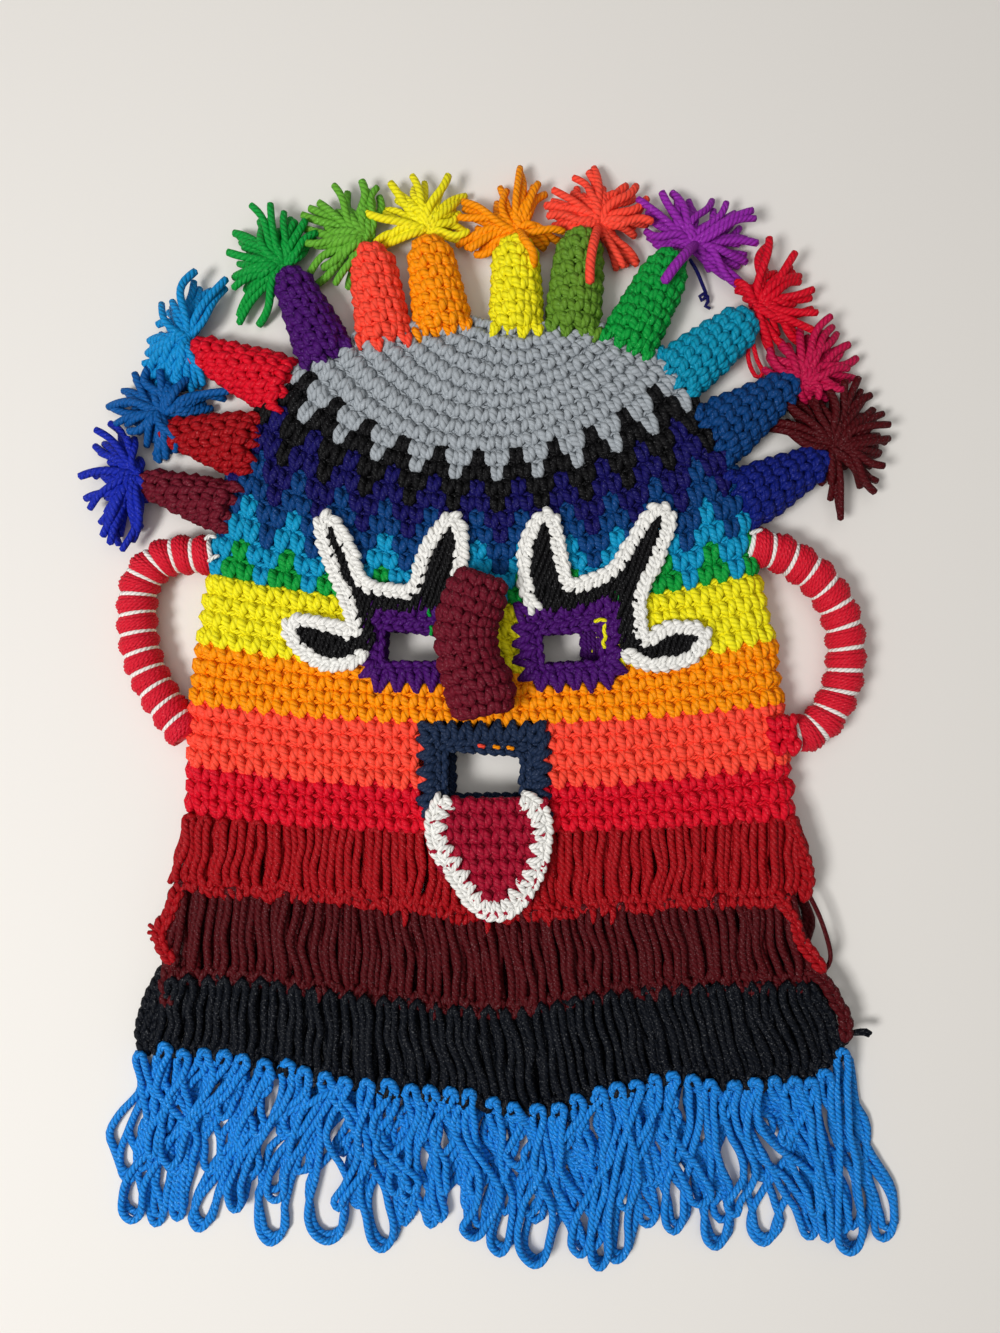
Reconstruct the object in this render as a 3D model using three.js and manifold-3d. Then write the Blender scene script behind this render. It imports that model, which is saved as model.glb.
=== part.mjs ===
import * as THREE from 'three';
import { mergeVertices } from 'three/addons/utils/BufferGeometryUtils.js';
import Module from 'manifold-3d';

// Crocheted two-faced hood mask with twelve tasselled horns, lying flat on its back.
// Millimetres. +Z rises out of the face, +Y runs to the crown, +X to the right of the face.
// The origin is on the underside, on the middle line at the height of the eyes.

const wasm = await Module();
wasm.setup();

// Driving dimensions
const HOOD_THICK = 20;
const WALL = 4;
const GAP = 0.3;
const FOLD = 13;
const FACE = HOOD_THICK + GAP;
const MIDDLE = HOOD_THICK / 2;
const WELD = 1e-4;

const PATCH_THICK = 3;
const NOSE_RISE = 21;
const NOSE_ROUND = 8;
const TONGUE_THICK = 4.5;
const EAR_RADIUS = 9.6;
const EAR_SIDES = 10;
const EAR_STEPS = 16;
const HORN_BASE = 12;
const HORN_TIP = 8;
const HORN_SIDES = 12;
const TASSEL_THICK = 11;
const TASSEL_POINTS = 14;
const BAND_THICK = 4;
const BAND_POINTS = 9;
const CORNER = 3;

// Outline of the hood laid flat: height, then the left and the right edge
const HOOD_SIDES = [
  [-120, -146, 150],
  [-80, -140.5, 144.5],
  [-28, -138.3, 138.7],
  [0, -135, 134.9],
  [28, -130.3, 128.5],
  [51, -126.6, 125],
  [70, -122, 121.5],
  [93, -116, 113],
  [112, -104.6, 101.5],
  [130, -86.5, 86],
  [142, -64, 69],
  [148.5, -28, 45],
];
const CROWN_TOP = [10, 150];

// Lower edges of the hood and of each row of loops: height at the middle and at the
// sides, the left and the right end, and the height of the front layer's underside
const HEMS = [
  { middle: -90.5, side: -80, left: -140.5, right: 144.5, under: 15.7 },
  { middle: -130.5, side: -116, left: -143, right: 141, under: 12.6 },
  { middle: -174, side: -158, left: -142, right: 152, under: 10 },
  { middle: -215, side: -191, left: -162, right: 164, under: 8 },
  { middle: -291, side: -279, left: -174, right: 189, under: 5.2 },
];
const BACK_SPREAD = { left: 3, right: 6 };
const LOOP_ROWS = [
  { name: 'loops_dark_red', color: 0xa5101c },
  { name: 'loops_maroon', color: 0x5a1018 },
  { name: 'loops_black', color: 0x0b101b },
  { name: 'fringe_blue', color: 0x1c82dc },
];
const FRINGE_WAVES = 7;
const FRINGE_WAVE = 4.5;

// Horns from the left round the crown to the right, each with its tassel:
// where the horn starts and ends, the tassel's knot, and its widest fan of strands
const HORNS = [
  { horn: 'wine', color: 0x6b1830, base: [-121, 62], tip: [-157, 73], tassel: 'royal_blue',
    tint: 0x1226a5, knot: [-163, 77], aim: 182, half: 115, strands: 30, back: 7 },
  { horn: 'dark_red', color: 0xb5121e, base: [-111, 92], tip: [-147, 99], tassel: 'petrol',
    tint: 0x04578f, knot: [-151, 106], aim: 150, half: 70, strands: 31, back: 15 },
  { horn: 'red', color: 0xe00f25, base: [-96, 116], tip: [-133, 134.5], tassel: 'sky_blue',
    tint: 0x0a8acb, knot: [-139, 141], aim: 125, half: 70, strands: 27, back: 13 },
  { horn: 'purple', color: 0x3f0e70, base: [-75, 132], tip: [-92, 167], tassel: 'green',
    tint: 0x05a035, knot: [-95, 174], aim: 130, half: 95, strands: 27, back: 12 },
  { horn: 'coral', color: 0xff4b33, base: [-46, 142], tip: [-53, 179], tassel: 'light_green',
    tint: 0x4f9a3c, knot: [-56, 187], aim: 130, half: 80, strands: 29, back: 11 },
  { horn: 'orange', color: 0xff8a0e, base: [-19, 146], tip: [-26.5, 183], tassel: 'yellow',
    tint: 0xf5ea1e, knot: [-28, 191], aim: 90, half: 85, strands: 24, back: 10 },
  { horn: 'yellow', color: 0xeedc1c, base: [13, 147], tip: [13, 182], tassel: 'orange',
    tint: 0xff8208, knot: [14.5, 190], aim: 95, half: 100, strands: 24, back: 13 },
  { horn: 'olive', color: 0x4e8c33, base: [40, 145], tip: [43.5, 186], tassel: 'coral',
    tint: 0xff4d3c, knot: [53, 195], aim: 80, half: 110, strands: 25, back: 22 },
  { horn: 'green', color: 0x0b8a2f, base: [66, 135], tip: [88.5, 175.5], tassel: 'purple',
    tint: 0x7a1e9c, knot: [95, 184], aim: 40, half: 95, strands: 28, back: 16 },
  { horn: 'teal', color: 0x0893ad, base: [90, 121], tip: [120.5, 150], tassel: 'red',
    tint: 0xe60f28, knot: [126, 157], aim: 25, half: 80, strands: 27, back: 14 },
  { horn: 'blue', color: 0x044f86, base: [105, 94], tip: [140, 119], tassel: 'crimson',
    tint: 0xb5103e, knot: [146, 121], aim: 50, half: 70, strands: 31, back: 14 },
  { horn: 'navy', color: 0x0a1c86, base: [120, 67], tip: [156, 83], tassel: 'maroon',
    tint: 0x5c0e18, knot: [161, 90], aim: 0, half: 110, strands: 27, back: 14 },
];

// Centre lines of the two wrapped ears
const EARS = [
  { name: 'ear_left', points: [
    [-130, 39.5], [-150, 38.3], [-161, 27], [-163, 8], [-160, -10], [-152, -27], [-139, -45],
  ] },
  { name: 'ear_right', points: [
    [127, 43], [140, 39.5], [157, 26], [167, 6], [167, -18], [159, -36], [148, -44], [134, -44],
  ] },
];

// Openings: the corners of each rim and of the hole in it, anticlockwise from the top
// left. The hidden layer repeats them, moved sideways by `shift`.
const OPENINGS = [
  { name: 'eye_rim_left', color: 0x4a1280, shift: 0,
    rim: [[-53, 14.5], [-55, -19], [-14, -18.5], [-15, 14.5]],
    hole: [[-45, 3], [-45, -10.5], [-18, -10.5], [-18, 0]] },
  { name: 'eye_rim_right', color: 0x4a1280, shift: -7,
    rim: [[16.5, 12.5], [18, -20], [62, -18.5], [58, 18.5]],
    hole: [[25, 0], [26.5, -12.5], [53, -9.5], [52, 1.5]] },
  { name: 'mouth_rim', color: 0x1b2f4a, shift: 3,
    rim: [[-29, -38], [-29, -79], [27.5, -79], [27.5, -38]],
    hole: [[-18.5, -50], [-18.5, -75], [16.5, -75], [16.5, -54]] },
];

// Two-pronged patches over the eyes: the edging's outline and the black one inside it
const PATCHES = [
  { side: 'left',
    edging: [
      [-16.3, 23.6], [-10.5, 34.6], [-9.2, 43.3], [-10.4, 52.6], [-15.7, 58.1], [-21, 55.6],
      [-26.4, 48.7], [-31, 39.3], [-34, 27.2], [-38.3, 24.2], [-47.6, 25.6], [-52.3, 27.2],
      [-56.2, 34.6], [-62.3, 46.6], [-69, 56.5], [-72.6, 58.2], [-76.3, 53.9], [-76, 46],
      [-72.1, 34.6], [-67.2, 24], [-64.6, 15.4], [-64.9, 7.8], [-71.8, 8.1], [-85, 10.1],
      [-90.9, 7.2], [-90.9, 3.6], [-87, -4.3], [-80.4, -10.9], [-69.9, -12.5], [-61.4, -10.9],
      [-57.1, -6.3], [-55, 2], [-55, 16.2], [-24, 17.5],
    ],
    black: [
      [-70.1, 45.6], [-62.4, 32], [-58.8, 22.2], [-52.3, 19.2], [-36.6, 19.2], [-29.5, 22.2],
      [-29.8, 32], [-24.3, 44.6], [-17.4, 48.8], [-17.8, 40], [-19.7, 30.8], [-18.7, 22.8],
      [-20.7, 15.2], [-31.4, 12.9], [-39.9, 12.6], [-52, 14.3], [-52.7, 10.9], [-50.4, 5],
      [-52, -1], [-56.8, -6.2], [-59, -10], [-65.9, -9], [-73.7, -7.1], [-78.9, -3.7],
      [-84, 3.8], [-80.2, 5.1], [-67.2, 2.5], [-60.1, -0.5], [-58.1, 4.2], [-58.8, 12.9],
      [-62.7, 21.6], [-69.1, 33],
    ] },
  { side: 'right',
    edging: [
      [20.2, 14.9], [16.7, 22.8], [16, 34.6], [16.7, 43.3], [20.2, 50.7], [25.8, 58],
      [29.2, 59], [33.2, 54.6], [36.2, 45.4], [37.5, 33.2], [39.8, 27.9], [47.8, 29.9],
      [57.2, 33.2], [63.9, 43.3], [70.7, 54], [77.4, 61.4], [80.7, 62.8], [84.7, 59.3],
      [85.7, 51.3], [83.4, 41.3], [80.1, 30.6], [74.6, 22.6], [74.3, 11.2], [75.3, 4.5],
      [83.4, 6.5], [95.4, 7.5], [102.2, 5.2], [102.5, 1.2], [98.2, -6.9], [92.7, -11.6],
      [77.4, -13.6], [70, -11.6], [64.6, -6.9], [63.8, 0], [63.8, 18.5], [55.5, 22], [42, 17.5],
      [26, 15],
    ],
    black: [
      [22.2, 43.3], [28.3, 47.6], [30.3, 42], [31.3, 29.3], [35, 21.9], [39.8, 20.5],
      [52, 24.6], [61.2, 28.6], [66, 38.7], [73.3, 49.4], [77, 51.3], [79, 47.4],
      [77, 38.7], [73.3, 28], [68.6, 24.6], [68, 17], [67, 0.5], [70.7, -3.6],
      [77.4, -1.2], [83.4, 1.2], [95.8, -0.2], [89.4, -7.3], [77.4, -9.4], [68.6, -7.3],
      [64.5, -6.5], [61.6, -2.5], [60.9, 8], [61.2, 17.4], [55.2, 19.2], [43.4, 14.9],
      [26.5, 12.5], [22.9, 18], [21.4, 25],
    ] },
];

const NOSE_LINE = [
  [-4, 30], [10, 27.5], [10.5, 20], [5, 7], [5, -8], [10.5, -21], [16, -29], [12, -34],
  [3, -36.5], [-7, -35], [-16.5, -27], [-21, -13], [-21.8, 0], [-18, 14], [-12, 25],
];
const TONGUE_LINE = [
  [-20, -73], [-25.3, -76], [-26.6, -88.4], [-22.6, -101.6], [-14.5, -112], [-5.8, -122],
  [3, -128], [11, -126.5], [19.2, -118], [26, -104], [29.2, -89.3], [27, -77.5], [20.6, -71],
  [15.5, -73],
];
const TONGUE_FILL = [
  [-19, -72.7], [-21, -89], [-13, -104], [3, -122], [16, -107], [23, -89], [15, -72.7],
];

// Makes a solid for joining and cutting from a closed geometry.
function solidOf(geometry) {
  const bare = geometry.clone();
  bare.deleteAttribute('normal');
  bare.deleteAttribute('uv');
  const welded = mergeVertices(bare, WELD);
  return new wasm.Manifold(new wasm.Mesh({
    numProp: 3,
    vertProperties: Float32Array.from(welded.attributes.position.array),
    triVerts: Uint32Array.from(welded.index.array),
  }));
}

function geometryOf(solid) {
  const { vertProperties, triVerts } = solid.getMesh();
  const geometry = new THREE.BufferGeometry();
  geometry.setAttribute('position', new THREE.BufferAttribute(vertProperties, 3));
  geometry.setIndex(new THREE.BufferAttribute(triVerts, 1));
  geometry.computeVertexNormals();
  return geometry;
}

function polygon(points) {
  return new THREE.Shape(points.map(([x, y]) => new THREE.Vector2(x, y)));
}

// Smooth closed outline through the points, cut into `count` steps.
function smooth(points, count) {
  const curve = new THREE.CatmullRomCurve3(points.map(([x, y]) => new THREE.Vector3(x, y, 0)), true);
  return curve.getSpacedPoints(count).slice(0, count).map(({ x, y }) => [x, y]);
}

// Flat plate from z = base up, grown sideways by `grow`.
function plate(shape, base, thick, grow = 0) {
  const geometry = new THREE.ExtrudeGeometry(shape, {
    depth: thick,
    bevelEnabled: grow !== 0,
    bevelThickness: 0,
    bevelSize: grow,
    bevelSegments: 1,
  });
  return geometry.translate(0, 0, base);
}

// Plate with its rim rounded over above and below, as a stuffed or folded piece has.
function pillow(shape, base, thick, round, segments, grow = 0) {
  const rise = thick / 2 - 0.25;
  const geometry = new THREE.ExtrudeGeometry(shape, {
    depth: thick - 2 * rise,
    bevelEnabled: true,
    bevelThickness: rise,
    bevelSize: round,
    bevelOffset: grow - round,
    bevelSegments: segments,
  });
  return geometry.translate(0, 0, base + rise);
}

// Four-cornered outline with rounded corners, in the order of the corners given.
function roundedQuad(corners, grow = 0) {
  const centre = corners.reduce(([a, b], [x, y]) => [a + x / 4, b + y / 4], [0, 0]);
  const grown = corners.map(([x, y]) => new THREE.Vector2(
    x + Math.sign(x - centre[0]) * grow,
    y + Math.sign(y - centre[1]) * grow,
  ));
  const shape = new THREE.Shape();
  grown.forEach((corner, i) => {
    const last = grown[(i + 3) % 4];
    const next = grown[(i + 1) % 4];
    const into = corner.clone().add(last.clone().sub(corner).setLength(CORNER));
    const out = corner.clone().add(next.clone().sub(corner).setLength(CORNER));
    if (i === 0) {
      shape.moveTo(into.x, into.y);
    } else {
      shape.lineTo(into.x, into.y);
    }
    shape.quadraticCurveTo(corner.x, corner.y, out.x, out.y);
  });
  shape.closePath();
  return polygon(shape.getPoints(2).slice(0, -1).map(({ x, y }) => [x, y]));
}

// Points of one hem from its left end to its right, `lower` below the hem itself.
function hemPoints(hem, count, lower = 0) {
  const centre = (hem.left + hem.right) / 2;
  const half = (hem.right - hem.left) / 2;
  return Array.from({ length: count }, (_, i) => {
    const u = 2 * i / (count - 1) - 1;
    return [centre + u * half, hem.middle + (hem.side - hem.middle) * u * u - lower];
  });
}

function hoodOutline() {
  const left = HOOD_SIDES.map(([y, x]) => [x, y]);
  const right = HOOD_SIDES.map(([y, , x]) => [x, y]).reverse();
  return polygon(smooth([...left, CROWN_TOP, ...right], 44));
}

// Everything below the hood's own hem.
function belowHem() {
  const hem = HEMS[0];
  const wide = hemPoints({ ...hem, left: hem.left - 20, right: hem.right + 20,
    side: hem.middle + (hem.side - hem.middle) * 1.3 }, 15);
  const floor = [[wide[14][0], -200], [wide[0][0], -200]];
  return solidOf(plate(polygon([...wide, ...floor]), -5, HOOD_THICK + 10));
}

function shifted(corners, shift) {
  return corners.map(([x, y]) => [x + shift, y]);
}

function hood() {
  const outline = hoodOutline();
  const inner = pillow(outline, WALL, HOOD_THICK - 2 * WALL, FOLD - WALL, 2, -WALL);
  let shell = solidOf(pillow(outline, 0, HOOD_THICK, FOLD, 3));
  shell = shell.subtract(solidOf(inner));
  shell = shell.subtract(belowHem());
  OPENINGS.forEach(({ rim, shift }) => {
    const front = plate(roundedQuad(rim, GAP), MIDDLE, MIDDLE + 1);
    const back = plate(roundedQuad(shifted(rim, shift), GAP), -1, MIDDLE + 1);
    shell = shell.subtract(solidOf(front)).subtract(solidOf(back));
  });
  return shell;
}

// The closed hood a little larger than life, to cut what is sewn to its edge.
function hoodClearance() {
  const full = pillow(hoodOutline(), -GAP, HOOD_THICK + 2 * GAP, FOLD, 3, GAP);
  return solidOf(full);
}

function openingRim({ rim, hole }, base, shift) {
  const outer = roundedQuad(shifted(rim, shift));
  outer.holes.push(roundedQuad(shifted(hole, shift)));
  return plate(outer, base, WALL);
}

// Stuffed cone turned on its axis, laid from base to tip with its belly on the ground.
function horn({ base, tip }, grow = 0) {
  const length = Math.hypot(tip[0] - base[0], tip[1] - base[1]) + grow;
  const profile = [
    [0, -grow],
    [HORN_BASE + grow, -grow],
    [HORN_BASE + grow, length * 0.3],
    [(HORN_BASE + HORN_TIP) * 0.53 + grow, length * 0.62],
    [HORN_TIP + grow, length * 0.85],
    [HORN_TIP * 0.6 + grow, length * 0.97],
    [0, length],
  ];
  const turned = new THREE.LatheGeometry(profile.map(([r, z]) => new THREE.Vector2(r, z)), HORN_SIDES);
  const tilt = Math.atan2(HORN_BASE - HORN_TIP, length);
  turned.rotateX(tilt);
  turned.rotateZ(Math.atan2(tip[1] - base[1], tip[0] - base[0]) - Math.PI / 2);
  return turned.translate(base[0], base[1], HORN_BASE + 0.6);
}

// Flattened bundle of strands: long over the fan that it opens to, short behind.
function tassel({ knot, aim, half, strands, back }, grow = 0) {
  const points = Array.from({ length: TASSEL_POINTS }, (_, i) => {
    const angle = 360 * i / TASSEL_POINTS;
    const away = Math.abs(((angle - aim + 540) % 360) - 180);
    const share = THREE.MathUtils.smoothstep(half + 25 - away, 0, 50);
    const reach = back + (strands - back) * share + (i % 2 ? 1.5 : -1.5);
    const turn = THREE.MathUtils.degToRad(angle);
    return [knot[0] + reach * Math.cos(turn), knot[1] + reach * Math.sin(turn)];
  });
  return pillow(polygon(points), 0.2 - grow, TASSEL_THICK + 2 * grow, 6, 2, grow);
}

function ear({ points }, grow = 0) {
  const path = new THREE.CatmullRomCurve3(points.map(([x, y]) => new THREE.Vector3(x, y, EAR_RADIUS + 0.2)));
  const round = new THREE.Shape();
  round.absellipse(0, 0, EAR_RADIUS + grow, EAR_RADIUS + grow, 0, 2 * Math.PI);
  return new THREE.ExtrudeGeometry(polygon(round.getSpacedPoints(EAR_SIDES).slice(0, EAR_SIDES)
    .map(({ x, y }) => [x, y])), { steps: EAR_STEPS, extrudePath: path });
}

// One row of hanging loops between two hems, sagging from the hood to the ground.
function loopRow(index, layer) {
  const hidden = layer === 'back';
  const [over, under] = [HEMS[index], HEMS[index + 1]].map((hem) => (hidden
    ? { ...hem, left: hem.left - BACK_SPREAD.left, right: hem.right + BACK_SPREAD.right }
    : hem));
  const last = index === LOOP_ROWS.length - 1;
  const top = hemPoints(over, BAND_POINTS, GAP);
  const bottom = hemPoints(under, last ? 2 * FRINGE_WAVES + 1 : BAND_POINTS);
  if (last) {
    bottom.forEach((point, i) => {
      point[1] += i % 2 ? -FRINGE_WAVE : FRINGE_WAVE;
    });
  }
  const geometry = plate(polygon([...bottom, ...top.reverse()]), 0, BAND_THICK - (hidden ? 0.4 : 0));
  if (!hidden) {
    const spot = geometry.attributes.position;
    for (let i = 0; i < spot.count; i += 1) {
      const near = Math.abs(spot.getY(i) - over.side) < Math.abs(spot.getY(i) - under.middle);
      spot.setZ(i, spot.getZ(i) + (near ? over : under).under);
    }
  }
  return geometry;
}

function nose() {
  const round = pillow(polygon(smooth(NOSE_LINE, 16)), FACE - NOSE_RISE, 2 * NOSE_RISE, NOSE_ROUND, 3);
  const under = plate(polygon([[-60, -60], [60, -60], [60, 60], [-60, 60]]), -40, 40 + FACE);
  return solidOf(round).subtract(solidOf(under));
}

function tongue(grow = 0) {
  return plate(polygon(TONGUE_FILL), FACE - grow, TONGUE_THICK + 2 * grow, grow);
}

function tongueEdging() {
  const whole = pillow(polygon(TONGUE_LINE), FACE, TONGUE_THICK + 0.6, 2, 2);
  return solidOf(whole).subtract(solidOf(tongue(2 * GAP)));
}

const group = new THREE.Group();

function add(name, shape, color) {
  const geometry = shape.isBufferGeometry ? shape : geometryOf(shape);
  const material = new THREE.MeshStandardMaterial({ color, roughness: 0.9, metalness: 0 });
  const mesh = new THREE.Mesh(geometry, material);
  mesh.name = name;
  group.add(mesh);
}

add('hood', hood(), 0xf59300);

const hoodSpace = hoodClearance();
let taken = hoodSpace;
EARS.forEach((each) => {
  add(each.name, solidOf(ear(each)).subtract(hoodSpace), 0xd01425);
  taken = taken.add(solidOf(ear(each, GAP)));
});
HORNS.forEach((each) => {
  add(`horn_${each.horn}`, solidOf(horn(each)).subtract(taken), each.color);
  taken = taken.add(solidOf(horn(each, GAP)));
});
HORNS.forEach((each) => {
  add(`tassel_${each.tassel}`, solidOf(tassel(each)).subtract(taken), each.tint);
  taken = taken.add(solidOf(tassel(each, GAP)));
});

OPENINGS.forEach((opening) => {
  add(opening.name, openingRim(opening, HOOD_THICK - WALL, 0), opening.color);
  add(`back_${opening.name}`, openingRim(opening, 0, opening.shift), opening.color);
});

PATCHES.forEach(({ side, edging, black }) => {
  const patch = solidOf(plate(polygon(black), FACE, PATCH_THICK - 0.6));
  const around = solidOf(plate(polygon(edging), FACE, PATCH_THICK));
  const clear = solidOf(plate(polygon(black), FACE - 1, PATCH_THICK + 2, GAP));
  add(`eye_patch_${side}`, patch, 0x121214);
  add(`eye_edging_${side}`, around.subtract(clear), 0xe8e6e2);
});

add('nose', nose(), 0x5f1228);
add('tongue', tongue(), 0x9e1238);
add('tongue_edging', tongueEdging(), 0xe8e6e2);

['front', 'back'].forEach((layer) => {
  LOOP_ROWS.forEach(({ name, color }, index) => {
    add(`${layer}_${name}`, loopRow(index, layer), color);
  });
});

export default group;
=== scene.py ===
"""Crocheted two-faced hood mask with tasselled horns, laid flat on its back.

Everything is worked from single strands of yarn, as the real hood is: each stitch is two bent
strands, and each loop, tassel and braid is laid strand by strand. Sizes are in millimetres in
the classes and turn into metres when a mesh is made.
"""

import logging
import math
from dataclasses import dataclass, replace
from enum import Enum
from functools import cache
from typing import Callable, Iterator, Sequence

import bmesh
import bpy
import numpy as np
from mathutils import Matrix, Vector, noise


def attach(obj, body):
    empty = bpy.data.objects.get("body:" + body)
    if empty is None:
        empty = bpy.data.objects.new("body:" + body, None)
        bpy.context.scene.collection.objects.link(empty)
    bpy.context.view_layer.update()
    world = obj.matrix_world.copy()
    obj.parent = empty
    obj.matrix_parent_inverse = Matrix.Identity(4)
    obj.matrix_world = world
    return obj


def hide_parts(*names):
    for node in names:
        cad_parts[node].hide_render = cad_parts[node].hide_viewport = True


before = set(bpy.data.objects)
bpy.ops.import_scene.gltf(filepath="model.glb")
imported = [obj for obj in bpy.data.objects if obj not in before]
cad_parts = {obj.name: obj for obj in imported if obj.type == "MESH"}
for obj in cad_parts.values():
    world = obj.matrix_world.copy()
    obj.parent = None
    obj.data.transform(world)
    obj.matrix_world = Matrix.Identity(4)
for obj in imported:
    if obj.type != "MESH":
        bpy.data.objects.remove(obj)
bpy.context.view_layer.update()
LOG = logging.getLogger("hood")

Array = np.ndarray
Point = tuple[float, float]
Spot = tuple[float, float, float]
Line = tuple[Point, ...]
Basket = dict[str, bpy.types.Material]

MM = 0.001
UP = np.array((0.0, 0.0, 1.0))
PRESSED = 0.6  # the yarn lies pressed flat on the floor below this height
LYING = 1.95  # the height of a strand's middle where it lies on the floor
EYE = (6.5, -12.6, 480.0)  # where the camera is
PIXEL, PIXEL_HEIGHT = 0.467, 10.0  # a pixel's size, and the height at which it has that size
PHOTO_MIDDLE = (500.0, 667.0)


class Side(Enum):
    """Which of the hood's two layers a piece belongs to."""

    FRONT = "front"
    BACK = "back"


# Yarn finishes


def operator(kind: str, flipped: bool = False) -> Callable[["Wire", object], "Wire"]:
    """Makes one of the operators of a wire.

    Args:
        kind: The Math node's operation.
        flipped: Whether the wire is the second of the two values.

    Returns:
        The operator.
    """
    def operate(wire: "Wire", other: object) -> "Wire":
        """A Math node on the wire and the other value."""
        pair = (other, wire) if flipped else (wire, other)
        return wire.shader.node("ShaderNodeMath", {"operation": kind}, *pair)

    return operate


class Wire:
    """A shader socket that takes part in Python sums and products."""

    def __init__(self, shader: "Shader", socket: bpy.types.NodeSocket) -> None:
        """Keeps the socket and the shader that it belongs to."""
        self.shader, self.socket = shader, socket

    __add__, __radd__ = operator("ADD"), operator("ADD", flipped=True)
    __sub__, __rsub__ = operator("SUBTRACT"), operator("SUBTRACT", flipped=True)
    __mul__, __rmul__ = operator("MULTIPLY"), operator("MULTIPLY", flipped=True)
    __pow__ = operator("POWER")

    def output(self, index: int) -> "Wire":
        """Another output of the same node."""
        return Wire(self.shader, self.socket.node.outputs[index])

    def fraction(self) -> "Wire":
        """What is left over a whole number."""
        return self.shader.node("ShaderNodeMath", {"operation": "FRACT"}, self)

    def clamped(self) -> "Wire":
        """The value kept from 0 to 1."""
        return self.shader.node("ShaderNodeMath", {"operation": "ADD", "use_clamp": True}, self, 0.0)


class Shader:
    """The node tree of one material."""

    def __init__(self, name: str) -> None:
        """Starts an empty material.

        Args:
            name: The material's name.
        """
        self.material = bpy.data.materials.new(name)
        self.material.use_nodes = True
        self.tree = self.material.node_tree
        self.tree.nodes.clear()

    def node(self, kind: str, settings: dict[str, object], *values: object, out: int = 0,
             **named: object) -> Wire:
        """Adds a node.

        Args:
            kind: The node's type.
            settings: Its settings, which are set first.
            values: Values or links of its sockets in their order; None leaves one as it is.
            out: Which output to return.
            named: Values or links of sockets by name, with _ for a space.

        Returns:
            The chosen output.
        """
        made = self.tree.nodes.new(kind)
        for key, value in settings.items():
            setattr(made, key, value)
        pairs = [*zip(made.inputs, values)]
        pairs += [(made.inputs[key.replace("_", " ")], value) for key, value in named.items()]
        for socket, value in pairs:
            if isinstance(value, Wire):
                self.tree.links.new(value.socket, socket)
            elif value is not None:
                socket.default_value = value
        return Wire(self, made.outputs[out])

    def grain(self, where: Wire, scale: float, detail: float = 1.0, rough: float = 0.5) -> Wire:
        """Noise from 0 to 1 at the places that a wire gives."""
        return self.node("ShaderNodeTexNoise", {}, Vector=where, Scale=scale, Detail=detail, Roughness=rough)

    def mixed(self, share: Wire, low: object, high: object) -> Wire:
        """One colour turning into another as the share goes from 0 to 1."""
        number_sockets = (None,) * 5
        return self.node("ShaderNodeMix", {"data_type": "RGBA"}, share, *number_sockets, low, high, out=2)

    def finish(self, skin: Wire) -> bpy.types.Material:
        """Joins the finished surface to the material's output.

        Args:
            skin: The surface.

        Returns:
            The material.
        """
        end = self.tree.nodes.new("ShaderNodeOutputMaterial")
        self.tree.links.new(skin.socket, end.inputs["Surface"])
        return self.material


def linear(code: str, share: float = 1.0, lift: float = 0.0, most: float = 2.0) -> tuple[float, ...]:
    """A colour for a shader socket.

    Args:
        code: The colour as six hexadecimal digits, as the eye sees it.
        share: How much of its light is kept.
        lift: How much white light is added.
        most: The most that each part may have.

    Returns:
        The colour in linear light, with full alpha.
    """
    shares = [int(code[i:i + 2], 16) / 255 for i in (0, 2, 4)]
    lights = [s / 12.92 if s <= 0.04045 else ((s + 0.055) / 1.055) ** 2.4 for s in shares]
    return (*(min(most, light * share + lift) for light in lights), 1.0)


@dataclass(frozen=True)
class YarnFinish:
    """Plied acrylic yarn, its colour painted with shade in the grooves between plies and with glints of
    highlight. UV runs in plies along the strand and in turns round it.
    """

    slot: str
    colour: str
    plies: int = 3
    # shadow: how deep the painted shade in the grooves between plies is
    shadow: float = 0.4
    fibre: float = 0.3
    relief: float = 0.46
    roughness: float = 0.6
    gloss: float = 0.14
    # glint: how strong the painted glints, specks of painted highlight, are
    glint: float = 0.5
    # groove_shade: the share of the colour kept where the painted groove shade is darkest
    groove_shade: float = 0.45
    patches: float = 0.26

    def material(self) -> bpy.types.Material:
        """Builds the yarn's material.

        Returns:
            The material.
        """
        shader = Shader(self.slot)
        along = shader.node("ShaderNodeSeparateXYZ", {}, shader.node("ShaderNodeUVMap", {"uv_map": "Yarn"}))
        round_it = along.output(1)
        twist = round_it * self.plies + along
        ply = 1.0 - (twist.fraction() * 2.0 - 1.0) ** 2.0
        lay = shader.node("ShaderNodeCombineXYZ", {}, twist * 5.0, along * 0.55, round_it)
        hairs = shader.grain(lay, 1.0, 2.0, 0.6)
        spot = shader.node("ShaderNodeTexCoord", {}, out=3)
        # light: painted shade in the ply grooves, with random fibre and patch tone added
        light = (1.0 - self.shadow) + ply * self.shadow + (hairs - 0.5) * (2 * self.fibre)
        light = light + (shader.grain(spot, 90.0) - 0.5) * self.patches
        # the colour runs from the painted groove shade to the lit ply crest
        base = shader.mixed(light.clamped(), linear(self.colour, self.groove_shade), linear(self.colour, 1.03))
        # painted glints: specks of painted highlight in a paler, whitened copy of the colour
        painted_glints = ((shader.grain(spot, 1500.0) - 0.62) * (9.0 * self.glint)).clamped()
        base = shader.mixed(painted_glints, base, linear(self.colour, 1.5, 0.1, 1.0))
        bump = shader.node("ShaderNodeBump", {}, Strength=1.0, Distance=self.relief * MM,
                           Height=ply * 0.75 + hairs * 0.5)
        return shader.finish(shader.node("ShaderNodeBsdfPrincipled", {}, Base_Color=base, Normal=bump,
                                         Roughness=self.roughness, Specular_IOR_Level=self.gloss))


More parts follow.
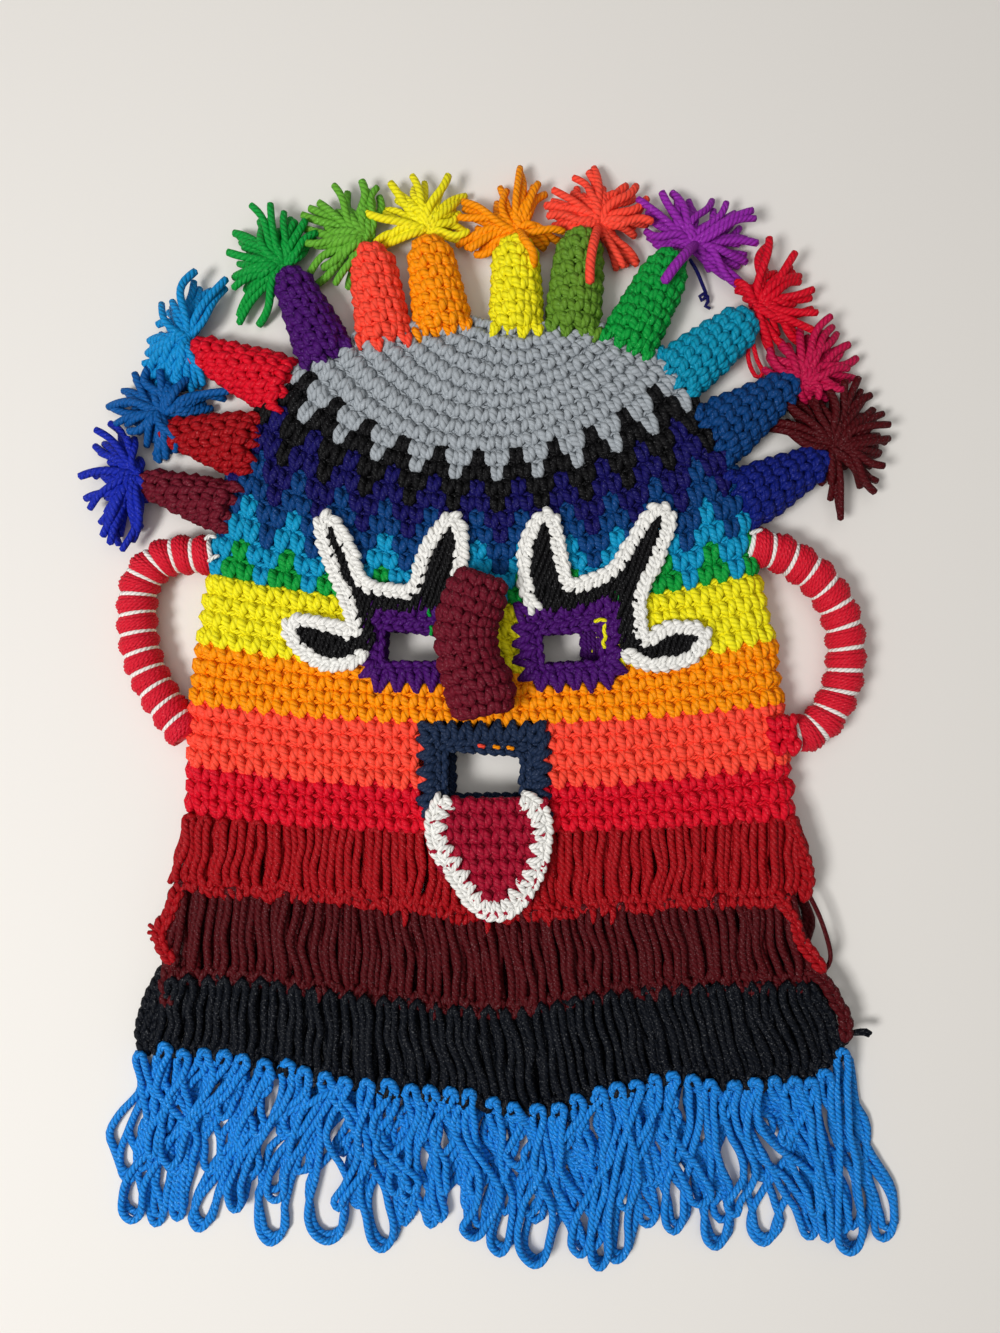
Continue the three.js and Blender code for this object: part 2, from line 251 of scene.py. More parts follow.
YARNS = [
    *(YarnFinish(f"{name}_yarn", colour) for name, colour in (
        ("wine", "680F22"), ("red", "D80824"), ("purple", "460C66"), ("coral", "FF4D38"),
        ("orange", "FF9600"), ("yellow", "F4E81A"), ("olive", "648E2A"), ("green", "07983A"),
        ("teal", "0A94C0"), ("turquoise", "038FB0"), ("marine", "06559A"), ("petrol", "053E78"),
        ("navy", "120E58"), ("ink_blue", "0A1A72"), ("white", "F0EEE8"), ("slate", "1A2A45"),
        ("grey", "A3A9AE"))),
    *(YarnFinish(f"{name}_yarn", colour, shadow=0.5) for name, colour in (
        ("royal_blue", "1226A5"), ("sky_blue", "0A8ACB"), ("light_green", "68AE34"),
        ("violet", "9426A6"), ("crimson", "9F0A2B"), ("raspberry", "BE1248"))),
    YarnFinish("ear_yarn", "D41A30", shadow=0.2),
    YarnFinish("dark_red_yarn", "A00712", shadow=0.5, relief=0.5),
    YarnFinish("maroon_yarn", "4C050C", shadow=0.42, relief=0.45, glint=0.6),
    YarnFinish("black_yarn", "050912", shadow=0.42, relief=0.45, glint=0.8),
    YarnFinish("patch_black", "09080A", shadow=0.15),
    YarnFinish("fringe_blue_yarn", "1A86DF", shadow=0.72, fibre=0.42, relief=0.7, glint=1.2),
]


# Lines and places


def seen(spots: Sequence[Point], height: float | Array) -> Array:
    """Where places in the photo lie.

    Args:
        spots: The places in pixels from the photo's upper left corner.
        height: How high they are above the floor, in millimetres.

    Returns:
        The points in millimetres.
    """
    pixels = np.asarray(spots, float)
    high = np.broadcast_to(np.asarray(height, float), pixels.shape[:-1])
    scale = PIXEL * (EYE[2] - high) / (EYE[2] - PIXEL_HEIGHT)
    x = (pixels[..., 0] - PHOTO_MIDDLE[0]) * scale + EYE[0]
    y = (PHOTO_MIDDLE[1] - pixels[..., 1]) * scale + EYE[1]
    return np.stack([x, y, high], axis=-1)


def unit(vectors: Array) -> Array:
    """Vectors of length 1 in the same directions."""
    return vectors / np.maximum(np.linalg.norm(vectors, axis=-1, keepdims=True), 1e-9)


def steps_of(line: Array) -> Array:
    """How far each point of a line is from the one before it."""
    return np.linalg.norm(np.diff(line, axis=0), axis=1)


def long(line: Array) -> float:
    """How long a line of points is."""
    return steps_of(line).sum()


def evenly(line: Array, count: int) -> Array:
    """Points spaced evenly along a line that is given by close points.

    Args:
        line: The close points.
        count: How many points to return.

    Returns:
        The points.
    """
    along = np.concatenate([[0], steps_of(line).cumsum()])
    at = np.linspace(0, along[-1], count)
    return np.stack([np.interp(at, along, column) for column in line.T], axis=1)


def through(points: Sequence[Sequence[float]], steps: int, closed: bool = False) -> Array:
    """Points spaced evenly along a smooth curve.

    Args:
        points: The points that the curve goes through.
        steps: How many points to return.
        closed: Whether the curve comes back to its start.

    Returns:
        The points, as steps by the number of coordinates.
    """
    spots = np.asarray(points, float)
    if closed:
        spots = np.concatenate([spots[-1:], spots, spots[:2]])
    else:
        spots = np.concatenate([2 * spots[:1] - spots[1:2], spots, 2 * spots[-1:] - spots[-2:-1]])
    t = np.linspace(0, 1, 24, endpoint=False)[:, None]
    pieces = [0.5 * (2 * b + (c - a) * t + (2 * a - 5 * b + 4 * c - d) * t ** 2
                     + (3 * b - a - 3 * c + d) * t ** 3)
              for a, b, c, d in zip(spots, spots[1:], spots[2:], spots[3:])]
    fine = np.concatenate(pieces + [spots[-2:-1]])
    return evenly(fine, steps + 1)[:-1] if closed else evenly(fine, steps)


def inside(points: Array, corners: Sequence[Point]) -> Array:
    """Which points lie inside a closed outline.

    Args:
        points: The points.
        corners: The outline's corners.

    Returns:
        Whether each point lies inside.
    """
    ring = np.asarray(corners, float)
    x, y = points[..., 0, None], points[..., 1, None]
    x0, y0 = ring[:, 0], ring[:, 1]
    x1, y1 = np.roll(x0, -1), np.roll(y0, -1)
    left = x < (x1 - x0) * (y - y0) / np.where(y1 == y0, 1e-9, y1 - y0) + x0
    return (((y0 > y) != (y1 > y)) & left).sum(axis=-1) % 2 == 1


def corner_line(corners: Sequence[Point], step: float, height: float, reach: float = 0.0) -> Array:
    """Evenly spaced points round a closed outline.

    Args:
        corners: The outline's corners in millimetres.
        step: About how far apart the points are.
        height: Their height above the floor.
        reach: How far outside the outline they lie.

    Returns:
        The points, in the outline's order, without a repeated first one.
    """
    ring = np.asarray([*corners, corners[0]], float)
    points = evenly(np.column_stack([ring, np.full(len(ring), height)]), round(long(ring) / step) + 1)[:-1]
    ahead = unit(np.roll(points, -1, axis=0) - np.roll(points, 1, axis=0))
    area = np.sum(ring[:-1, 0] * ring[1:, 1] - ring[1:, 0] * ring[:-1, 1])
    return points - np.cross(UP, ahead) * np.sign(area) * reach


def eased(share: Array) -> Array:
    """A share from 0 to 1 that starts and ends slowly."""
    return share * share * (3 - 2 * share)


def seed_of(name: str) -> int:
    """A seed that belongs to a name."""
    return sum(map(ord, name))


def placed(data: bpy.types.ID) -> bpy.types.Object:
    """Puts a mesh, a light or a camera in the scene, as an object of the same name.

    Args:
        data: What the object shows.

    Returns:
        The object.
    """
    thing = bpy.data.objects.new(data.name, data)
    bpy.context.scene.collection.objects.link(thing)
    return thing


def cast(body: bmesh.types.BMesh, name: str, materials: Sequence[bpy.types.Material]) -> bpy.types.Object:
    """Turns a bmesh into an object.

    Args:
        body: The bmesh, which is freed.
        name: The object's name.
        materials: Its materials in their order.

    Returns:
        The object.
    """
    mesh = bpy.data.meshes.new(name)
    body.to_mesh(mesh)
    body.free()
    for material in materials:
        mesh.materials.append(material)
    return placed(mesh)


# Strands and how they are laid


@cache
class StrandMould:
    """A straight closed strand with a number of sides and rings, ready to be bent along paths."""

    def __init__(self, sides: int, rings: int) -> None:
        """Makes the straight strand.

        Args:
            sides: How many sides it has round it.
            rings: How many rings of points it has from end to end.
        """
        body = bmesh.new()
        bmesh.ops.create_cone(body, cap_ends=True, cap_tris=True, segments=sides, radius1=1.0,
                              radius2=1.0, depth=1.0)
        long_edges = [e for e in body.edges if abs(e.verts[0].co.z - e.verts[1].co.z) > 0.5]
        bmesh.ops.subdivide_edges(body, edges=long_edges, cuts=rings - 2)
        body.verts.index_update()
        spots = np.array([v.co for v in body.verts])
        faces = [f for f in body.faces if len(f.verts) == 4] + [f for f in body.faces if len(f.verts) == 3]
        self.ring = np.rint((spots[:, 2] + 0.5) * (rings - 1)).astype(int)
        self.turn = spots[:, :2].copy()
        pole = np.linalg.norm(self.turn, axis=1) < 0.5
        self.pole = np.where(pole, np.where(self.ring == 0, -1.0, 1.0), 0.0)
        self.corners = np.array([v.index for f in faces for v in f.verts])
        self.sizes = np.array([len(f.verts) for f in faces])
        self.round = np.array([self._angle(f, v) for f in faces for v in f.verts])
        body.free()

    @staticmethod
    def _angle(face: bmesh.types.BMFace, corner: bmesh.types.BMVert) -> float:
        """How far round the strand a face's corner is, without a jump inside the face.

        Args:
            face: The face.
            corner: One of its corners.

        Returns:
            The angle in turns.
        """
        middle = face.calc_center_median()
        centre = math.atan2(middle.y, middle.x) / math.tau
        if math.hypot(corner.co.x, corner.co.y) < 0.5:
            return centre
        angle = math.atan2(corner.co.y, corner.co.x) / math.tau
        return angle - round(angle - centre)


@dataclass(frozen=True)
class Stitch:
    """A single crochet stitch: two strands that meet at the foot, and the loop behind their tops.

    Across is in stitches, up in rows and lift in millimetres, each from top to foot.
    """

    radius: float = 2.0
    across: tuple[float, ...] = (0.40, 0.36, 0.27, 0.15, 0.05)
    up: tuple[float, ...] = (0.40, 0.23, -0.02, -0.30, -0.62)
    lift: tuple[float, ...] = (-2.3, -0.5, 0.3, -0.2, -1.8)
    swell: tuple[float, ...] = (1.0, 1.08, 1.12, 0.98, 0.9)
    sides: int = 6
    bars: bool = True
    bar_row: float = 0.5
    bar_reach: float = 0.47
    bar_radius: float = 1.25
    bar_lift: tuple[float, ...] = (-1.9, -1.3, -1.1, -1.3, -1.9)

    def leg(self, hand: int) -> tuple[Array, Array, Array]:
        """Across, up and lift of the left strand, -1, or the right one, 1."""
        return hand * np.array(self.across), np.array(self.up), np.array(self.lift)

    def bar(self) -> tuple[Array, Array, Array]:
        """The loop behind the strands' tops, in the same measures from left to right."""
        across = np.linspace(-self.bar_reach, self.bar_reach, len(self.bar_lift))
        return across, self.bar_row + 0 * across, np.array(self.bar_lift)


TALL = Stitch()
PLAIN = Stitch(across=(0.40, 0.30, 0.17, 0.05), up=(0.42, 0.1, -0.26, -0.62), lift=(-2.0, 0.2, 0.2, -1.6),
               swell=(1.0, 1.1, 1.0, 0.9), sides=5, bars=False)
SNUG = Stitch(radius=2.05, lift=(-1.5, -0.2, 0.25, -0.1, -1.1), bar_lift=(-1.3, -0.8, -0.6, -0.8, -1.3))
RIBBED = Stitch(up=(0.36, 0.20, -0.02, -0.26, -0.50), lift=(-3.0, -0.5, 0.5, -0.4, -2.7), bar_radius=1.0)
SPIKED = Stitch(across=(0.40, 0.37, 0.26, 0.13, 0.04), up=(0.40, 0.2, -0.1, -0.5, -0.82),
                lift=(-2.3, -0.5, 0.4, 0.4, -0.7))
POINTED = Stitch(radius=1.9, up=(0.42, 0.24, 0.0, -0.30, -0.62), lift=(-1.3, 0.0, 0.3, 0.2, -0.5))


class Work:
    """A piece of yarn work: strands laid one after another, which become one mesh."""

    def __init__(self, name: str, seed: int, pitch: float = 2.3) -> None:
        """Starts a piece without a strand.

        Args:
            name: The piece's name.
            seed: Where its own row of chance numbers starts.
            pitch: How long one ply of its yarn is along a strand.
        """
        self.name, self.pitch = name, pitch
        self.chance = np.random.default_rng(seed)
        self.laid: list[tuple[Array, ...]] = []
        self.yarns: dict[str, int] = {}
        self.count = 0

    def lay(self, paths: Array, radius: float | Array, yarn: str | Sequence[str],
            up: Array | Sequence[float] = UP, sides: int = 6, blunt: float = 0.55, tip: float = 0.72) -> None:
        """Lays strands along paths.

        Args:
            paths: Points of each path in millimetres, as strands by points by 3.
            radius: The strands' radius, one for all or one for each point.
            yarn: The yarn's name, or one name for each strand.
            up: The direction away from what they lie on, for each strand or point.
            sides: How many sides a strand has.
            blunt: How far its ends bulge, in radii.
            tip: The share of the radius that its ends have.
        """
        paths = np.asarray(paths, float)
        strands, rings = paths.shape[:2]
        mould = StrandMould(sides, rings)
        ring, turn = mould.ring, mould.turn
        radii = np.broadcast_to(np.asarray(radius, float), (strands, rings)).copy()
        radii[:, [0, -1]] *= tip
        along = unit(np.gradient(paths, axis=1))
        up = np.broadcast_to(up if np.ndim(up) != 2 else up[:, None, :], paths.shape)
        side = unit(np.cross(up, along))
        out = np.cross(along, side)
        length = np.linalg.norm(np.diff(paths, axis=1), axis=2).cumsum(axis=1)
        length = np.concatenate([np.zeros((strands, 1)), length], axis=1) / self.pitch
        shift = self.chance.random((strands, 2)) * [40.0, 1.0]
        wide = radii[:, ring, None]
        spots = paths[:, ring] + wide * (turn[:, :1] * side[:, ring] + turn[:, 1:] * out[:, ring])
        spots += (mould.pole * blunt)[:, None] * wide * along[:, ring]
        places = np.stack([length[:, ring[mould.corners]] + shift[:, :1], mould.round + shift[:, 1:]],
                          axis=-1)
        first = self.count + np.arange(strands) * len(ring)
        names = [yarn] * strands if isinstance(yarn, str) else yarn
        slots = np.array([self.yarns.setdefault(name, len(self.yarns)) for name in names], int)
        self.laid.append((spots.reshape(-1, 3), (mould.corners + first[:, None]).ravel(),
                          np.tile(mould.sizes, strands), places.reshape(-1, 2),
                          np.repeat(slots, len(mould.sizes))))
        self.count += strands * len(ring)

    def cord(self, path: Array, radius: float, yarn: str, step: float = 2.3) -> None:
        """Lays one long cord with its rings of points a step apart."""
        self.lay(evenly(path, max(6, round(long(path) / step)))[None], radius, yarn, sides=8, tip=0.9)

    def stitch(self, places: Array, across: Array, down: Array, yarn: str, up: float = 1.0,
               radius: float = 1.7, loose: float = 1.0, shape: Stitch = TALL) -> None:
        """Works stitches at places of their own, each two strands that meet at the foot.

        Args:
            places: The middle of each stitch.
            across: The direction across each stitch, as long as it is wide.
            down: The direction to its foot, as long as it is high.
            yarn: The yarn's name.
            up: 1 where they lie face up and -1 where they lie face down.
            radius: The strands' radius.
            loose: How uneven the hand is.
            shape: The stitch's shape.
        """
        across, down, up = (np.broadcast_to(a, places.shape) for a in (across, down, UP * up))
        for hand in (-1, 1):
            side, rise, lift = shape.leg(hand)
            wobble = self.chance.normal(0, 0.05, (3, len(places), 1)) * loose
            paths = places[:, None] + across[:, None] * (side + wobble[0])[..., None]
            paths = paths - down[:, None] * (rise * (1 + wobble[1]) + wobble[2])[..., None]
            paths = paths + up[:, None] * lift[:, None]
            self.lay(paths, radius * np.array(shape.swell), yarn, up=up, sides=shape.sides)

    def chain(self, line: Array, wide: float, yarn: str, up: float = 1.0, radius: float = 1.5,
              closed: bool = False) -> None:
        """Works a chain of links along a line.

        Args:
            line: The links' middles.
            wide: How wide the chain is.
            yarn: The yarn's name.
            up: 1 where it lies face up and -1 where it lies face down.
            radius: The strands' radius.
            closed: Whether the line comes back to its start.
        """
        ahead = np.gradient(line, axis=0)
        if closed:
            ahead = (np.roll(line, -1, axis=0) - np.roll(line, 1, axis=0)) / 2
        across = unit(np.cross(ahead, UP * up)) * wide
        self.stitch(line, across, ahead * 1.35, yarn, up, radius=radius, loose=0.8)

    def finish(self, basket: Basket) -> bpy.types.Object:
        """Makes the object.

        Args:
            basket: The yarns' materials by name.

        Returns:
            The object, at the origin, with its place in its mesh.
        """
        mesh = bpy.data.meshes.new(f"worked_{self.name}")
        spots, corners, sizes, places, slots = (np.concatenate(part) for part in zip(*self.laid))
        low = spots[:, 2] < PRESSED
        spots[low, 2] = PRESSED * np.exp(spots[low, 2] / PRESSED - 1)
        spots *= MM
        mesh.vertices.add(len(spots))
        mesh.vertices.foreach_set("co", spots.ravel())
        mesh.loops.add(len(corners))
        mesh.loops.foreach_set("vertex_index", corners)
        mesh.polygons.add(len(sizes))
        mesh.polygons.foreach_set("loop_start", np.concatenate([[0], sizes.cumsum()[:-1]]))
        mesh.update(calc_edges=True)
        mesh.uv_layers.new(name="Yarn").data.foreach_set("uv", places.ravel())
        mesh.polygons.foreach_set("material_index", slots)
        mesh.polygons.foreach_set("use_smooth", np.ones(len(sizes), bool))
        for yarn in self.yarns:
            mesh.materials.append(basket[yarn])
        return placed(mesh)


class Maker:
    """A part of the hood that is worked in yarn."""

    def works(self) -> Iterator[Work]:
        """Works the yarn, one piece after another."""
        raise NotImplementedError

    def build(self, basket: Basket) -> list[bpy.types.Object]:
        """Makes the pieces from the basket's yarns, and returns them in order."""
        return [work.finish(basket) for work in self.works()]


# Forms that stitches are worked on


class Form:
    """A surface with rows and stations round it, both real numbers, on which stitches sit."""

    rows: float
    spots: Array
    normals: Array
    per_row: float
    per_turn: float

    def set_grid(self, spots: Array, per_row: float, per_turn: float) -> None:
        """Keeps the surface's points.

        Args:
            spots: Points as rows by stations by 3; the last station repeats the first.
            per_row: Grid steps for one row.
            per_turn: Grid steps for one whole turn.
        """
        self.spots, self.per_row, self.per_turn = spots, per_row, per_turn
        wrapped = np.concatenate([spots[:, -2:-1], spots, spots[:, 1:2]], axis=1)
        self.normals = unit(np.cross(wrapped[:, 2:] - wrapped[:, :-2], np.gradient(spots, axis=0)))

    def at(self, row: Array, turn: Array, lift: Array | float = 0.0) -> Array:
        """Points on the surface.

        Args:
            row: How many rows up.
            turn: How far round, in turns.
            lift: How far above the surface, in millimetres.

        Returns:
            The points, with one more axis of 3 than the arguments.
        """
        return self._read(self.spots, row, turn) + self.out(row, turn) * np.asarray(lift, float)[..., None]

    def out(self, row: Array, turn: Array) -> Array:
        """The directions away from the surface."""
        return unit(self._read(self.normals, row, turn))

    def _read(self, grid: Array, row: Array, turn: Array) -> Array:
        """Reads a grid between its points.

        Args:
            grid: The points or the normals.
            row: How many rows up.
            turn: How far round, in turns.

        Returns:
            What the grid holds there.
        """
        r = np.clip(np.asarray(row, float) * self.per_row, 0, grid.shape[0] - 1.001)
        s = np.mod(np.asarray(turn, float), 1.0) * self.per_turn
        i, j = r.astype(int), np.minimum(s.astype(int), grid.shape[1] - 2)
        a, b = (r - i)[..., None], (s - j)[..., None]
        low = grid[i, j] * (1 - b) + grid[i, j + 1] * b
        high = grid[i + 1, j] * (1 - b) + grid[i + 1, j + 1] * b
        return low * (1 - a) + high * a

    def crochet(self, work: Work, row: Array, turn: Array, width: float, yarn: Sequence[str] | str,
                stitch: Stitch) -> None:
        """Works stitches on the surface.

        Args:
            work: The piece that they are laid in.
            row: The middle of each stitch, in rows.
            turn: The middle of each stitch, in turns.
            width: The width of a stitch, in turns.
            yarn: The yarn's name, or one for each stitch.
            stitch: The stitches' shape.
        """
        swell = stitch.radius * np.array(stitch.swell)
        strands = [(stitch.leg(-1), swell, stitch.sides), (stitch.leg(1), swell, stitch.sides)]
        if stitch.bars:
            strands.append((stitch.bar(), np.full(len(swell), stitch.bar_radius), 5))
        for (across, up, lift), radius, sides in strands:
            wobble = work.chance.normal(0, 1, (4, len(row), 1))
            rows = row[:, None] + up * (1 + 0.05 * wobble[0]) + 0.03 * wobble[1]
            turns = turn[:, None] + (across + 0.03 * wobble[2]) * width
            paths = self.at(rows, turns, lift + 0.2 * wobble[3])
            radii = radius * (1 + 0.05 * work.chance.normal(0, 1, (len(row), 1)))
            work.lay(paths, radii, yarn, up=self.out(rows, turns), sides=sides)


# The hood


@dataclass(frozen=True)
class RowLine:
    """One row of the hood as it lies: its two ends on the outline and the middle between them."""

    row: float
    left: Point
    middle: Point
    right: Point
    bow: float
    back: Point


@dataclass
class HoodForm(Form):
    """The hood laid flat: a front and a back layer that meet in round folds.

    The outline is given by its height and its left and right edge.
    """

    half: float = 8.1
    middle: float = 10.3
    fold: float = 12.0
    inset: float = 1.6
    swell: float = 1.1
    back_bow: float = 30.0
    rows: float = 34.0
    fine: int = 4
    stations: int = 160
    edges: tuple[Spot, ...] = (
        (-120, -146, 150), (-80, -140.5, 144.5), (-28, -138.3, 138.7), (0, -135, 134.9),
        (28, -130.3, 128.5), (51, -126.6, 125), (70, -122, 121.5), (93, -116, 113),
        (112, -104.6, 101.5), (130, -86.5, 86), (142, -64, 69), (148.5, -28, 45),
    )
    crown: Point = (10, 150)
    lines: tuple[RowLine, ...] = (
        RowLine(0, (-140.5, -78.9), (-12, -89), (144.5, -81.7), 30, (0, -89)),
        RowLine(3, (-139.5, -56), (-2.5, -67.5), (142, -54.6), 30, (0, -67)),
        RowLine(7, (-138.3, -28), (-2.5, -37.7), (138.7, -28), 30, (0, -37)),
        RowLine(11, (-135, -0.5), (6.5, -14.9), (134.9, 1), 30, (0, -14)),
        RowLine(15, (-127.5, 30.4), (2, 15.7), (128, 30.4), 30, (0, 16)),
        RowLine(23, (-92, 105.5), (1.5, 72.9), (96, 108.5), 42, (3, 72)),
        RowLine(25, (-81.5, 125.6), (-3.5, 86.6), (91, 130), 46, (4, 86)),
        RowLine(27, (-64, 139), (1.5, 99.8), (77.5, 138.5), 46, (5, 100)),
        RowLine(29, (-46.7, 145.5), (6.5, 112.8), (64.4, 144), 44, (6, 114)),
        RowLine(31, (-29.5, 148), (11.5, 126.1), (51.3, 147.5), 40, (8, 128)),
        RowLine(33, (-12.2, 149.5), (16.6, 139.1), (38.3, 149), 34, (14, 142)),
        RowLine(34, (-3.8, 150), (19.3, 145.5), (31.7, 149.5), 30, (16, 147)),
    )

    def __post_init__(self) -> None:
        """Works out the surface."""
        left = [(x, y) for y, x, _ in self.edges]
        right = [(x, y) for y, _, x in reversed(self.edges)]
        outline = through([*left, self.crown, *right], 420, closed=True)
        edge = np.roll(outline, -1, axis=0) - np.roll(outline, 1, axis=0)
        self.edge = outline + unit(np.stack([edge[:, 1], -edge[:, 0]], axis=1)) * self.inset
        rows = np.arange(0, self.rows * self.fine + 1) / self.fine
        self.set_grid(np.stack([self._ring(row) for row in rows]), self.fine, 2 * self.stations)

    def _ring(self, row: float) -> Array:
        """Points once round the hood at a row, from the left edge over the face and back.

        Args:
            row: The row, in rows from the hem.

        Returns:
            The points.
        """
        heights = [line.row for line in self.lines]

        def read(name: str) -> Array:
            """One fact of the row lines, between them."""
            table = np.array([np.ravel(getattr(line, name)) for line in self.lines], float)
            return np.array([np.interp(row, heights, column) for column in table.T])

        left, right = (self.edge[np.linalg.norm(self.edge - read(name), axis=1).argmin()]
                       for name in ("left", "right"))
        front = self._layer(left, read("middle"), right, math.radians(read("bow")[0]), 1)
        back = self._layer(left, read("back"), right, math.radians(self.back_bow), -1)
        return np.concatenate([front, back[::-1][1:]])

    def _layer(self, left: Array, middle: Array, right: Array, bow: float, face: int) -> Array:
        """One layer's row from the left edge to the right.

        Args:
            left: Its left end.
            middle: Its middle.
            right: Its right end.
            bow: Half the angle of its arc.
            face: 1 for the front layer and -1 for the back one.

        Returns:
            Evenly spaced points.
        """
        t = np.linspace(-1, 1, 301)
        end = np.where(t[:, None] < 0, left, right)
        x = middle[0] + (end[:, 0] - middle[0]) * np.sin(np.abs(t) * bow) / math.sin(bow)
        y = middle[1] + (end[:, 1] - middle[1]) * (1 - np.cos(t * bow)) / (1 - math.cos(bow))
        flat = np.stack([x, y], axis=1)
        away = np.linalg.norm(flat[:, None] - self.edge[None], axis=2).min(axis=1)
        rise = np.sqrt(np.maximum(1 - (1 - np.clip(away / self.fold, 0, 1)) ** 2, 0))
        waves = np.array([noise.noise(Vector((px * 0.018, py * 0.018, face))) for px, py in flat])
        z = self.middle + face * (self.half + self.swell * waves * rise) * rise
        return evenly(np.column_stack([flat, z]), self.stations + 1)


HOOD_FORM = HoodForm()


class Tooth(Enum):
    """Which part of a row of teeth a stitch belongs to."""

    WIDE = 2
    PEAK = 1


@dataclass
class Hood(Maker):
    """The hood: a backing shell and the stitches over it."""

    around: int = 72
    tooth: int = 3
    first_peak: float = 2.5
    bands: tuple[tuple[int, str], ...] = ((3, "red_yarn"), (7, "coral_yarn"), (11, "orange_yarn"),
                                          (15, "yellow_yarn"))
    teeth: tuple[str, ...] = ("green_yarn", "teal_yarn", "petrol_yarn", "navy_yarn", "patch_black",
                              "grey_yarn")
    crown_row: int = 25
    crown_top: float = 135.0
    ring_stitch: float = 6.7
    backing: float = 1.3
    wall: float = 1.2

    def yarn(self, row: int, station: float) -> str:
        """The colour of a stitch.

        Args:
            row: Its row from the hem.
            station: How many stitches it is from the left edge.

        Returns:
            The yarn's name.
        """
        for top, slot in self.bands:
            if row < top:
                return slot
        if row >= self.crown_row:
            return self.teeth[-1]
        block, step = divmod(row - self.bands[-1][0], 2)
        kind = Tooth.PEAK if step else Tooth.WIDE
        away = abs((station - self.first_peak + self.tooth / 2) % self.tooth - self.tooth / 2)
        return self.teeth[block] if away < kind.value / 2 + 0.05 else self.teeth[block + 1]

    def stations(self, row: int, side: Side) -> tuple[Array, int]:
        """The middles of one layer's stitches in a row.

        Args:
            row: The row from the hem.
            side: The layer.

        Returns:
            How far each stitch is from the layer's first edge, from 0 to 1, and their number.
        """
        if row < self.crown_row:
            count = self.around // 2
            return (np.arange(count) + 0.5 + (0.5 if row % 2 else 0.0)) / count, count
        turns = np.linspace(0, 0.5, 200) + (0 if side is Side.FRONT else 0.5)
        count = max(2, round(long(HOOD_FORM.at(np.full(200, row + 0.5), turns)) / self.ring_stitch))
        return (np.arange(count) + 0.5) / count, count

    def build(self, basket: Basket) -> list[bpy.types.Object]:
        """Makes the stitches, and the shell that comes before them."""
        pieces = super().build(basket)
        return [self._shell(basket), *pieces]

    def works(self) -> Iterator[Work]:
        """Works the stitches of the front and the back.

        Yields:
            The two pieces.
        """
        for seed, side in ((11, Side.FRONT), (12, Side.BACK)):
            work = Work(f"hood_{side.value}", seed)
            for row in range(int(HOOD_FORM.rows)):
                share, count = self.stations(row, side)
                turn = share * 0.5 + (0 if side is Side.FRONT else 0.5)
                rows = np.full(len(share), row + 0.5)
                kept = ~self._open(HOOD_FORM.at(rows, turn), side)
                names = [self.yarn(row, s * count) for s in share[kept]]
                shape = self._shape(row) if side is Side.FRONT else PLAIN
                HOOD_FORM.crochet(work, rows[kept], turn[kept], 0.5 / count, names, shape)
            yield work

    def _shape(self, row: int) -> Stitch:
        """The face's stitches in a row: long where they hang over the next band."""
        over = row in [top for top, _ in self.bands[:-1]]
        return SPIKED if over else RIBBED if row >= self.crown_row else TALL

    def _open(self, spots: Array, side: Side) -> Array:
        """Which points lie inside the rims of one layer's openings.

        Args:
            spots: The points.
            side: The layer.

        Returns:
            Whether each point lies inside a rim.
        """
        found = np.zeros(spots.shape[:-1], bool)
        for rim in RIMS:
            shift = 0 if side is Side.FRONT else rim.back_shift
            found |= inside(spots[..., :2] - [shift, 0], rim.rim)
        return found

    def _shell(self, basket: Basket) -> bpy.types.Object:
        """The cloth under the stitches, with a face or two for each stitch.

        Args:
            basket: The yarns' materials by name.

        Returns:
            The shell.
        """
        body = bmesh.new()
        bmesh.ops.create_grid(body, x_segments=self.around * 2, y_segments=int(HOOD_FORM.rows), size=0.5)
        body.verts.index_update()
        flat = np.array([v.co for v in body.verts])
        row, turn = (flat[:, 1] + 0.5) * HOOD_FORM.rows, flat[:, 0] + 0.5
        for vert, spot in zip(body.verts, HOOD_FORM.at(row, turn, -self.backing)):
            vert.co = Vector(spot) * MM
        slots = list(dict.fromkeys([slot for _, slot in self.bands] + list(self.teeth)))
        corners = np.array([[v.index for v in face.verts] for face in body.faces])
        high, far = row[corners].mean(axis=1), turn[corners].mean(axis=1)
        middles = HOOD_FORM.at(high, far)
        gone = np.where(far < 0.5, self._open(middles, Side.FRONT), self._open(middles, Side.BACK))
        layer = body.loops.layers.uv.new("Yarn")
        for face, r, t in zip(body.faces, high, far):
            face.material_index = slots.index(self.yarn(int(r), t * 2 % 1 * self.around / 2))
            for loop in face.loops:
                loop[layer].uv = (row[loop.vert.index] * 3.0, turn[loop.vert.index] * self.around)
        bmesh.ops.delete(body, geom=[f for f, out in zip(body.faces, gone) if out], context="FACES")
        bmesh.ops.remove_doubles(body, verts=body.verts, dist=0.05 * MM)
        top = [e for e in body.edges if e.is_boundary and min(v.co.y for v in e.verts) > self.crown_top * MM]
        bmesh.ops.holes_fill(body, edges=top)
        bmesh.ops.recalc_face_normals(body, faces=body.faces)
        shell = cast(body, "worked_hood_shell", [basket[slot] for slot in slots])
        wall = shell.modifiers.new("wall", "SOLIDIFY")
        wall.thickness, wall.offset = self.wall * MM, -1.0
        return shell


# Stuffed tubes: horns, nose and ears


